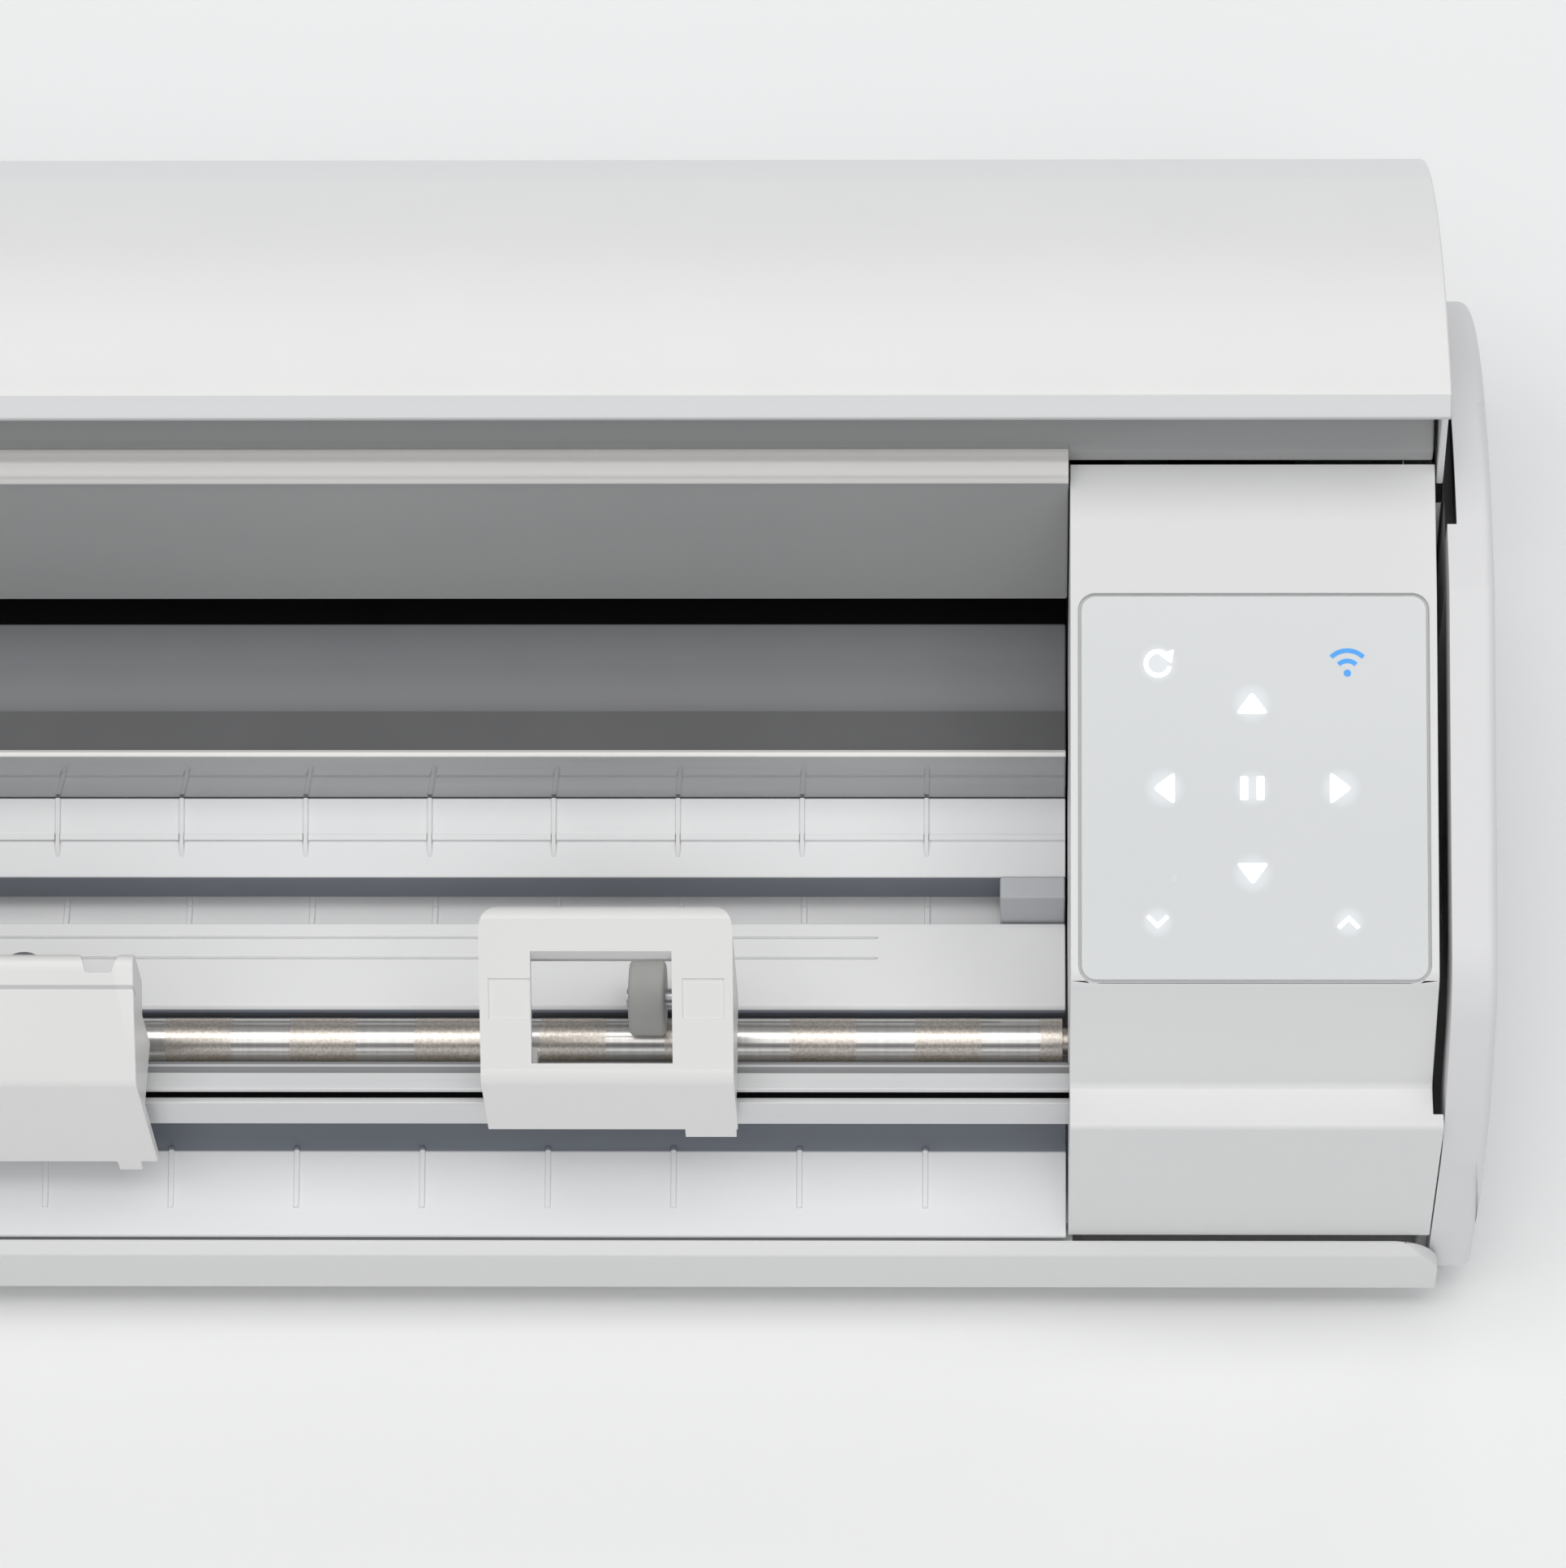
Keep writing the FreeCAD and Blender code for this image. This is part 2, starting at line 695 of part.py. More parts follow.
def front_tray():
    """Ribbed apron that runs down from the cutting line to the front edge."""
    tray = body("front_tray")
    outline = [
        (3.4, 26.5),
        (7.2, 26.5),
        (12.6, 28.2),
        (21.8, 32),
        (25.6, 34.8),
        (27.6, 36),
        (27.6, 38),
        (24.8, 37),
        (20.9, 34),
        (12, 30.2),
        (3.4, 27.6),
    ]
    pad(tray, -bed_half, bed_half * 2, outline)
    raised = [(9, 29.2), (12, 30.1), (20.9, 33.9), (20.9, 34.7), (12, 30.9), (9, 29.7)]
    rib = pad(tray, D["rib_right"] - D["rib_wide"] / 2, D["rib_wide"], raised)
    ribs(tray, rib, 14)


def cutting_strip():
    """Low-friction strip under the blades, on its carrier."""
    strip = body("cutting_strip")
    outline = [(27.9, chassis_top), (38.6, chassis_top), (38.6, 39.2), (27.9, 39.2)]
    pad(strip, -bed_half, bed_half * 2, outline)
    pocket(strip, -bed_half, bed_half * 2, rectangle(29.4, chassis_top - 1, 37.1, 37))


def carriage_rail():
    """Extruded rail: a channel open at its front top edge, with the belt inside it."""
    rail = body("carriage_rail")
    front = D["rail_front"]
    low = D["rail_low"]
    top = D["rail_top"]
    outline = [
        (front, low),
        (front + 8.5, low),
        (front + 8.5, top - 1),
        (front + 5.4, top - 0.6),
        (front + 5.4, top),
        (front + 1.5, top),
        (front + 1.5, top - 1.4),
        (front + 7, top - 1.4),
        (front + 7, low + 1.4),
        (front + 1.4, low + 1.4),
        (front + 1.4, low + 9.5),
        (front, low + 9.5),
    ]
    half = console_in + 4
    pad(rail, -half, half * 2, outline)


def timing_belt():
    """Closed loop of toothed belt that runs in the rail, round both pulleys."""
    belt = body("timing_belt")
    out = D["pulley_out"]
    level = D["belt_up"]
    for kind, radius in (("Pad", 4.5), ("Pocket", 3.6)):
        loop = [
            (-out, level - radius),
            (out, level - radius, radius * 1.0001),
            (out + radius, level, radius * 1.0001),
            (out, level + radius),
            (-out, level + radius, radius * 1.0001),
            (-(out + radius), level, radius * 1.0001),
        ]
        make = pad if kind == "Pad" else pocket
        make(belt, D["rail_front"] + 2.4, 4, loop, role="XZ_Plane")


# ---------------------------------------------------------------- inner frame and drive

plate_in = console_in + 4
plate_out = plate_in + 2


def steel_side_plates():
    """Upright steel plates inside the consoles; they hold the rail and the grit roller's bearings."""
    plates = []
    for _, side in SIDES:
        start, length = side_span(side, plate_in, plate_out)
        plate = box("Plate", start, 10, chassis_top, start + length, 90, 70)
        belt_way = box("BeltWay", start, 19.4, 52.4, start + length, 25, 62.6)
        seat = round_bar("x", start, D["shaft_back"], D["shaft_up"], 5.5, length)
        plates.append(cut(plate, [belt_way, seat]))
    keep(group(plates), "steel_side_plates")


def shaft_bearings():
    rings = []
    for _, side in SIDES:
        start, length = side_span(side, plate_in - 0.4, plate_out + 0.4)
        ring = round_bar("x", start, D["shaft_back"], D["shaft_up"], 5.5, length)
        hole = round_bar(
            "x", start, D["shaft_back"], D["shaft_up"], D["journal_radius"] + D["running_gap"], length
        )
        rings.append(cut(ring, [hole]))
    keep(group(rings), "shaft_bearings")


def grit_roller():
    """Feed shaft with narrower journals."""
    half = console_in - 1.2
    middle = round_bar("x", -half, D["shaft_back"], D["shaft_up"], D["grit_radius"], half * 2)
    ends = round_bar("x", -214, D["shaft_back"], D["shaft_up"], D["journal_radius"], 214 + 208)
    keep(fuse([middle, ends]), "grit_roller")


def toothed_wheel(teeth, tooth_height, root_depth, phase):
    """Flat outline of a spur wheel about the origin, with tapered teeth and ample backlash."""
    module = D["gear_module"].number
    pitch = teeth * module / 2
    step = 2 * math.pi / teeth
    corners = []
    for index in range(teeth):
        centre = index * step + phase
        for radius, share in (
            (pitch - root_depth, -0.27),
            (pitch + tooth_height, -0.13),
            (pitch + tooth_height, 0.13),
            (pitch - root_depth, 0.27),
        ):
            angle = centre + share * step
            corners.append(FreeCAD.Vector(0, radius * math.cos(angle), radius * math.sin(angle)))
    corners.append(corners[0])
    return Part.Face(Part.makePolygon(corners))


GEAR_ANGLE = math.radians(60)
gear_span = (D["gear_teeth"].number + D["pinion_teeth"].number) * D["gear_module"].number / 2
pinion_back = D["shaft_back"] + gear_span * math.cos(GEAR_ANGLE)
pinion_up = D["shaft_up"] + gear_span * math.sin(GEAR_ANGLE)


def gears():
    """Roller gear on the grit shaft, and the pinion with its motor shaft, in mesh."""
    wide = 5
    start = -213.0
    gear = toothed_wheel(int(D["gear_teeth"].number), 0.7, 1.0, GEAR_ANGLE)
    wheel = gear.extrude(FreeCAD.Vector(wide, 0, 0))
    bore = (D["journal_radius"] + D["running_gap"]).number
    hole = Part.makeCylinder(bore, wide, FreeCAD.Vector(0, 0, 0), FreeCAD.Vector(1, 0, 0))
    item = DOC.addObject("Part::Feature", "GearWheel")
    item.Shape = wheel.cut(hole)
    item.Placement.Base = FreeCAD.Vector(start, D["shaft_back"].number, D["shaft_up"].number)
    keep(group([item]), "shaft_gear")
    half_step = math.pi / D["pinion_teeth"].number
    small = toothed_wheel(int(D["pinion_teeth"].number), 0.7, 1.0, GEAR_ANGLE + math.pi + half_step)
    pinion = small.extrude(FreeCAD.Vector(wide, 0, 0))
    shaft = Part.makeCylinder(2, 17, FreeCAD.Vector(-12, 0, 0), FreeCAD.Vector(1, 0, 0))
    item = DOC.addObject("Part::Feature", "PinionWheel")
    item.Shape = pinion.fuse(shaft)
    item.Placement.Base = FreeCAD.Vector(start, pinion_back.number, pinion_up.number)
    keep(group([item]), "motor_pinion")


def motors():
    """Feed motor in the left console, carriage motor in the right one, and their brackets."""
    bracket = box("FeedBracket", -215, 36, chassis_top, -213.6, 70, 66)
    clearance = round_bar("x", -215, pinion_back, pinion_up, 3, 1.4)
    relief = round_bar("x", -215, D["shaft_back"], D["shaft_up"], 4, 1.4)
    keep(cut(bracket, [clearance, relief]), "feed_motor_bracket")
    can = round_bar("x", -243, pinion_back, pinion_up, 13, 28)
    bore = round_bar("x", -226, pinion_back, pinion_up, 2 + D["running_gap"], 11)
    keep(cut(can, [bore]), "feed_motor")
    out = D["pulley_out"]
    level = D["belt_up"]
    for label, middle in (("carriage_motor_bracket", out), ("idler_bracket", -out)):
        plate = box("Bracket", middle - 12, 26, chassis_top, middle + 14, 27.4, 72)
        radius = 2.6 if label == "carriage_motor_bracket" else 1.5 + D["running_gap"]
        hole = round_bar("y", middle, 26, level, radius, 1.4)
        keep(cut(plate, [hole]), label)
    can = round_bar("y", out, 27.4, level, 12.5, 26)
    bore = round_bar("y", out, 27.4, level, 2 + D["running_gap"], 9)
    keep(cut(can, [bore]), "carriage_motor")


def pulleys():
    """Flanged pulleys, each with its own shaft."""
    start = D["rail_front"] + 2.2
    for label, middle, shaft, long in (
        ("drive_pulley", D["pulley_out"], 2, 14.5),
        ("idler_pulley", -D["pulley_out"], 1.5, 6.6),
    ):
        drum = round_bar("y", middle, start, D["belt_up"], D["pulley_radius"], 4.4)
        front = round_bar("y", middle, start - 1, D["belt_up"], 4.2, 1)
        spindle = round_bar("y", middle, start, D["belt_up"], shaft, long)
        keep(fuse([drum, front, spindle]), label)


def main_board():
    """Control board on four pillars in the right console, with a few tall components."""
    board = box("Board", 208, 60, 31, 266, 112, 32.6)
    parts = [board]
    for x in (212, 262):
        for back in (64, 108):
            parts.append(round_bar("z", x, back, chassis_top, 2.5, 31 - chassis_top))
    parts.append(box("Chip", 226, 76, 32.6, 240, 90, 34.6))
    parts.append(box("Driver", 248, 70, 32.6, 258, 80, 34))
    for x in (214, 222):
        parts.append(round_bar("z", x, 98, 32.6, 3, 9))
    keep(fuse(parts), "main_board")


# ---------------------------------------------------------------- pinch units


def pinch_housing(name, left_side):
    """Housing that straddles the rail, with a window in its slope that shows the wheel."""
    housing = body(f"pinch_housing_{name}")
    outline = [
        (14, 56.5),
        (17.2, 56.5),
        (17.2, 64.6),
        (27.2, 64.6),
        (27.2, 68),
        (38, 68),
        (44.2, 84),
        (44.2, 97.6, 3),
        (40.4, 99.8),
        (16.4, 79.2, 4),
        (14.2, 75.8),
    ]
    pad(housing, left_side, D["housing_wide"], outline)
    inner = [
        (17, 68),
        (27, 68),
        (27, 60),
        (42, 60),
        (42, 96),
        (40.6, 96.6),
        (17, 76.4),
    ]
    pocket(housing, left_side + wall, D["housing_wide"] - wall * 2, inner)
    opening = rectangle(left_side + 10.5, 17.3, left_side + 39.5, 35.2)
    pocket(housing, 64, 40, opening, role="XY_Plane")
    pin = [(D["arm_back"], D["arm_up"], 1.5 + D["running_gap"])]
    pocket(housing, left_side + D["housing_wide"] - wall, wall, circles=pin)
    tab = rectangle(left_side + 41, 14, left_side + 51.6, 16.6)
    pad(housing, 53, 3.5, tab, role="XY_Plane")
    right_side = left_side + D["housing_wide"]
    back = 44.2
    bend = 6
    left_corner = [
        (left_side, back - bend, -bend),
        (left_side + bend, back),
        (left_side + bend, back + 1),
        (left_side - 1, back + 1),
        (left_side - 1, back - bend),
    ]
    right_corner = [
        (right_side - bend, back, -bend),
        (right_side, back - bend),
        (right_side + 1, back - bend),
        (right_side + 1, back + 1),
        (right_side - bend, back + 1),
    ]
    pocket(housing, 60, 45, left_corner, role="XY_Plane")
    pocket(housing, 60, 45, right_corner, role="XY_Plane")
    grip_low = (24.4, 86.07)
    grip_high = (30.9, 91.65)
    sink = (0.33, 0.38)
    grip = [
        (grip_low[0] + sink[0], grip_low[1] - sink[1]),
        (grip_high[0] + sink[0], grip_high[1] - sink[1]),
        (grip_high[0] - sink[0], grip_high[1] + sink[1]),
        (grip_low[0] - sink[0], grip_low[1] + sink[1]),
    ]
    grip_wide = 8.6
    for offset in (1.8, 41.6):
        pocket(housing, left_side + offset, grip_wide, grip)


def pinch_arm(name, left_side):
    """Sprung arm with the wheel's axle at its lower end and its own pivot pin at the upper end."""
    side = left_side + 40.2
    pivot = (D["arm_back"], D["arm_up"])
    axle = (D["wheel_back"], D["wheel_up"])
    arm = body(f"pinch_arm_{name}")
    outline = [
        (axle[0] - 4, axle[1] - 2),
        (axle[0] + 1, axle[1] - 4),
        (axle[0] + 4, axle[1] + 2),
        (pivot[0] + 4.5, pivot[1] + 1),
        (pivot[0] + 1, pivot[1] + 4),
        (pivot[0] - 3.5, pivot[1] - 1),
    ]
    pad(arm, side, 3, outline)
    pad(arm, side + 3, 7.2, circles=[(pivot[0], pivot[1], 1.5)])
    pad(arm, left_side + 27.4, 12.8, circles=[(axle[0], axle[1], 2)])


def pinch_wheel(name, left_side):
    wheel = body(f"pinch_wheel_{name}")
    start = left_side + 28
    pad(wheel, start, D["wheel_wide"], circles=[(D["wheel_back"], D["wheel_up"], D["wheel_radius"])])
    hole = [(D["wheel_back"], D["wheel_up"], 2 + D["running_gap"])]
    pocket(wheel, start, D["wheel_wide"], circles=hole)
    bored = wheel.Tip
    rim = []
    for index, edge in enumerate(bored.Shape.Edges, start=1):
        round_edge = isinstance(edge.Curve, Part.Circle)
        if round_edge and abs(edge.Curve.Radius - D["wheel_radius"].number) < 1e-6:
            rim.append(f"Edge{index}")
    rounding = wheel.newObject("PartDesign::Fillet", "Rim")
    rounding.Base = (bored, rim)
    rounding.Radius = 1


# ---------------------------------------------------------------- tool carriage


def carriage_saddle():
    """Slide that wraps the rail and reaches into its channel for the belt."""
    saddle = body("carriage_saddle")
    left = D["carriage_left"]
    outline = [
        (14.7, 44),
        (17.5, 44),
        (17.5, 61.1),
        (19.8, 61.1),
        (19.8, 62.1),
        (17.5, 62.1),
        (17.5, 64.5),
        (26.9, 64.5),
        (26.9, 52),
        (28.4, 52),
        (28.4, 67),
        (14.7, 67),
    ]
    pad(saddle, left + 3, D["carriage_wide"] - 6, outline)


def carriage_cover():
    """White hood of the carriage: front face, sloping top and two cheeks, open behind and below."""
    cover = body("carriage_cover")
    left = D["carriage_left"]
    outline = [
        (12, 45),
        (14.5, 45),
        (14.5, 50),
        (14.5, 67.2),
        (28.6, 67.2),
        (28.6, 80),
        (34.5, 84),
        (34.5, 94.2, 2.5),
        (32, 96.8),
        (30.6, 96.4),
        (13, 81.2, 3),
        (12, 78.8),
    ]
    pad(cover, left, D["carriage_wide"], outline)
    inner = [(14.5, 67), (28.7, 67), (28.7, 78), (36, 82), (36, 90), (31.5, 93.6), (14.5, 79)]
    pocket(cover, left + wall, D["carriage_wide"] - wall * 2, inner)
    notch = [(left + 58.4, 36), (left + 60.4, 30), (left + 65.4, 30), (left + 67.4, 36)]
    pocket(cover, 88, 15, notch, role="XY_Plane")
    skirt = rectangle(12, 41.2, 14.5, 46)
    pad(cover, left + D["carriage_wide"] - 8.6, 5, skirt)


def tool(name, middle):
    """Holder block with a forked ear, the barrel with its blade point, and the clamp lever on its pin."""
    pin_x = middle + 8.6
    pin_up = 60.4
    block = box("Block", middle - 6, 28.9, 58, middle + 6, 38.3, 74)
    bore = round_bar("z", middle, 33.6, 58, D["tool_radius"] + 0.2, 16)
    ears = []
    for back in (30.2, 35.8):
        ears.append(box("Ear", middle + 5.8, back, 58.2, pin_x + 2, back + 1.2, 62.6))
    pin = round_bar("y", pin_x, 30.2, pin_up, 1, 6.8)
    keep(fuse([cut(block, [bore])] + ears + [pin]), f"tool_holder_{name}")
    barrel = round_bar("z", middle, 33.6, 50, D["tool_radius"], 37)
    nose = round_bar("z", middle, 33.6, 44.6, 0.8, 5.4, D["tool_radius"] - 0.8)
    collar = round_bar("z", middle, 33.6, 74.1, D["tool_radius"] + 1, 3)
    knob = round_bar("z", middle, 33.6, 82, D["tool_radius"] + 0.8, 7)
    keep(fuse([barrel, nose, collar, knob]), f"tool_barrel_{name}")
    lever = box("Lever", pin_x - 1.1, 31.6, pin_up, pin_x + 1.1, 35.6, 73)
    boss = round_bar("y", pin_x, 31.6, pin_up, 2, 4)
    hole = round_bar("y", pin_x, 31.6, pin_up, 1 + D["running_gap"], 4)
    keep(cut(fuse([lever, boss]), [hole]), f"clamp_lever_{name}")


# ---------------------------------------------------------------- lid


def lid_shell():
    """Curved lid about the pivot, with a bevelled front edge and a shallow rear lip."""
    shell = body("lid_shell")
    radius = D["lid_radius"]
    inside = radius - D["lid_wall"]
    rear = D["lid_rear"]
    crease = D["lid_rear"] + 49.4
    bevel = D["lid_front"] - 2.3
    outer_rear = polar(radius - 0.48, rear)
    outer_crease = polar(radius, crease)
    outer_bevel = polar(radius - 0.1, bevel)
    tip = polar(inside + 0.6, D["lid_front"])
    inner_front = polar(inside, D["lid_front"])
    inner_rear = polar(inside, rear)
    outline = [
        (outer_rear[0], outer_rear[1], radius + 3),
        (outer_crease[0], outer_crease[1], radius + 1.2),
        (outer_bevel[0], outer_bevel[1]),
        (tip[0], tip[1]),
        (inner_front[0], inner_front[1], -inside),
        (inner_rear[0], inner_rear[1]),
    ]
    half = cap_inner - D["lid_gap"]
    pad(shell, -half, half * 2, outline)


def lid_cheek(name, side):
    """Sector plate at one end of the lid, with its boss at the pivot."""
    cheek = body(f"lid_cheek_{name}")
    outer = cap_inner - D["lid_gap"]
    start, length = side_span(side, outer - D["cheek_thick"], outer)
    inside = D["lid_radius"] - D["lid_wall"]
    first = polar(inside, D["lid_rear"] + 4)
    last = polar(inside, D["lid_front"] - 3)
    pad(
        cheek,
        start,
        length,
        [
            (D["pivot_back"] - 10, D["pivot_up"] - 4),
            (D["pivot_back"] + 8, D["pivot_up"] - 8),
            (first[0], first[1], inside),
            (last[0], last[1]),
        ],
    )
    pad(cheek, start, length, circles=[(D["pivot_back"], D["pivot_up"], 12)])


def lid_pins():
    pins = []
    for _, side in SIDES:
        start, length = side_span(side, cap_inner - D["lid_gap"], cap_inner + 5.5)
        pins.append(round_bar("x", start, D["pivot_back"], D["pivot_up"], 4, length))
    keep(group(pins), "lid_pivot_pins")


# ---------------------------------------------------------------- roll-feed drawer


def drawer_front():
    """Long front lip of the case with rounded top corners; it is the front of the drawer."""
    front = body("drawer_front")
    half = cap_inner + 1.8
    low = D["drawer_up"]
    top = D["drawer_top"]
    outline = [
        (-half, low),
        (half, low),
        (half, top - 9, 9),
        (half - 9, top),
        (-(half - 9), top, 9),
        (-half, top - 9),
    ]
    pad(front, 0, D["lip_thick"], outline, role="XZ_Plane")
    pocket(front, -half, half * 2, [(0, top - 1.6), (2.5, top), (2.5, top + 1), (0, top + 1)])


def drawer_tray():
    """Shallow tray with the bearings of the two roll-feed rollers in its end walls."""
    tray = body("drawer_tray")
    half = D["tray_half"]
    pad(tray, 10.8, 13, rectangle(-half, D["lip_thick"], half, D["tray_long"]), role="XY_Plane")
    inner = rectangle(-(half - 3), 6, half - 3, D["tray_long"] - 2.4)
    pocket(tray, 12.1, 12, inner, role="XY_Plane")
    holes = []
    for back in (D["feed_front"], D["feed_rear"]):
        holes.append((back, D["feed_up"], 2.5 + D["running_gap"]))
    pocket(tray, -half, 3, circles=holes)
    pocket(tray, half - 3, 3, circles=holes)


def feed_roller(name, back):
    half = D["tray_half"]
    level = D["feed_up"]
    drum = round_bar("x", -(half - 4), back, level, D["feed_radius"], (half - 4) * 2)
    axle = round_bar("x", -half, back, level, 2.5, half * 2)
    keep(fuse([drum, axle]), f"feed_roller_{name}")


def roll_guide(name, side):
    """Guide that slides along both rollers and holds the roll of material from the side."""
    plate = body(f"roll_guide_{name}")
    start, length = side_span(side, 160, 163)
    pad(plate, start, length, rectangle(21, 13.3, 79, 24.3))
    holes = []
    for back in (D["feed_front"], D["feed_rear"]):
        holes.append((back, D["feed_up"], D["feed_radius"] + 0.3))
    pocket(plate, start, length, rectangle(38, 17.5, 62, 25))
    for back in (D["feed_front"], D["feed_rear"]):
        pocket(plate, start, length, rectangle(back - 6.3, 13, back + 6.3, D["feed_up"]))
    pocket(plate, start, length, circles=holes)


def build():
    base_pan()
    rubber_feet()
    case_screws()
    chassis_plate()
    end_caps()
    for name, side in SIDES:
        lid_cheek(name, side)
        roll_guide(name, side)
    steel_side_plates()
    end_blocks()
    console("left", -1)
    right_console()
    rear_cover()
    rear_panel()
    ports()
    rear_guide()
    deck_riser()
    rear_deck()
    valley_floor()
    landing()
    front_tray()
    cutting_strip()
    carriage_rail()
    timing_belt()
    shaft_bearings()
    grit_roller()
    gears()
    motors()
    pulleys()
    main_board()
    for name, _ in SIDES:
        left_side = D[f"housing_{name}"]
        pinch_housing(name, left_side)
        pinch_arm(name, left_side)
        pinch_wheel(name, left_side)
    carriage_saddle()
    carriage_cover()
    tool("one", D["carriage_left"] + 14)
    tool("two", D["carriage_left"] + 46)
    lid_shell()
    lid_pins()
    drawer_front()
    drawer_tray()
    feed_roller("front", D["feed_front"])
    feed_roller("rear", D["feed_rear"])


def export():
    """Check every object, then write one STEP file per piece."""
    DOC.recompute()
    for item in DOC.Objects:
        if "Invalid" in item.State or "Error" in item.State:
            raise RuntimeError(f"{item.Label} failed: {item.State}")
    for piece in PIECES:
        if piece.Shape.isNull() or not piece.Shape.isValid() or not piece.Shape.Solids:
            raise RuntimeError(f"{piece.Label} has no valid solid")
    os.makedirs("parts", exist_ok=True)
    for piece in PIECES:
        piece.Shape.exportStep(f"parts/{piece.Label}.step")
    print(len(PIECES), "pieces")


build()
export()
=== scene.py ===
import json
import math

import bmesh
import bpy
import numpy as np
from mathutils import Matrix, Vector


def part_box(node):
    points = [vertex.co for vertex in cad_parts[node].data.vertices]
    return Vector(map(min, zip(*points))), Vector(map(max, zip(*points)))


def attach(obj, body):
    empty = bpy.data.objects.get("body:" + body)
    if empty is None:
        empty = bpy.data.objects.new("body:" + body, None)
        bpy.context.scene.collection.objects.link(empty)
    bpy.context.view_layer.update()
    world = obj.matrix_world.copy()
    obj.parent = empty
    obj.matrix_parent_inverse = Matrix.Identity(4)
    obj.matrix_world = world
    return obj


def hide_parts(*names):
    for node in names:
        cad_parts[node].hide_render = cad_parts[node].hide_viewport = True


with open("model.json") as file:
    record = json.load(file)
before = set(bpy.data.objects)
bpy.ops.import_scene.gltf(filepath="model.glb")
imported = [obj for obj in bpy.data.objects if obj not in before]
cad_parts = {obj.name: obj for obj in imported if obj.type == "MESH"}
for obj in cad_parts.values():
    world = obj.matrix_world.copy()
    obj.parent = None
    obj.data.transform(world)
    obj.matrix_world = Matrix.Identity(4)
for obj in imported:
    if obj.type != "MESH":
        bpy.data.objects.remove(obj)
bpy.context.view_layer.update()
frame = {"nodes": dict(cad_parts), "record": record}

MM = 0.001
NODES = frame["nodes"]
PIVOT_BACK = 117.4
PIVOT_UP = 56.0
GRIT_PITCH = 26.7
SMOOTH_LIMIT = math.radians(35)
EDGE_LIMIT = math.radians(32)
EDGE_SEGMENTS = 3
FLAT_LIMIT = math.radians(0.4)
WELD_DISTANCE = 0.002 * MM
MOULD_GRAIN = 2600
MOULD_RELIEF = 0.00001
DRAWN_RELIEF = 0.000004
RUBBER_GRAIN = 1500
RUBBER_RELIEF = 0.00004
RUBBER_ROUGH = 0.64
ARC_POINTS = 28
CORNER_POINTS = 5
OBJECT_BODY = {
    node: body for body, nodes in frame["record"]["behaviour"]["bodies"].items() for node in nodes
}


# ---------------------------------------------------------------- shader maths


class Wire:
    """A shader socket that adds Math nodes when it is used in an expression."""

    def __init__(self, finish, socket):
        self.finish = finish
        self.socket = socket

    def _math(self, operation, first, second=None):
        values = [v for v in (first, second) if v is not None]
        made = self.finish.node("ShaderNodeMath", {"operation": operation}, dict(enumerate(values)))
        return made.out("Value")

    def __add__(self, other):
        return self._math("ADD", self, other)

    def __radd__(self, other):
        return self._math("ADD", other, self)

    def __sub__(self, other):
        return self._math("SUBTRACT", self, other)

    def __rsub__(self, other):
        return self._math("SUBTRACT", other, self)

    def __mul__(self, other):
        return self._math("MULTIPLY", self, other)

    def __rmul__(self, other):
        return self._math("MULTIPLY", other, self)

    def __truediv__(self, other):
        return self._math("DIVIDE", self, other)

    def above(self, edge, soft):
        """0 below the edge, 1 above it, with a soft step."""
        return self.finish.step(self, edge - soft, edge + soft)

    def absolute(self):
        """The value without its sign."""
        return self._math("ABSOLUTE", self)

    def power(self, exponent):
        """The value raised to an exponent."""
        return self._math("POWER", self, exponent)

    def fraction(self):
        """The part after the decimal point, which repeats from 0 to 1."""
        return self._math("FRACT", self)

    def clamp(self):
        """The value held between 0 and 1."""
        made = self.finish.node("ShaderNodeClamp", {}, {"Value": self})
        return made.out("Result")


class Made:
    """A node just added, with its outputs as Wires."""

    def __init__(self, finish, item):
        self.finish = finish
        self.item = item

    def out(self, name):
        """One output of the node."""
        return Wire(self.finish, self.item.outputs[name])


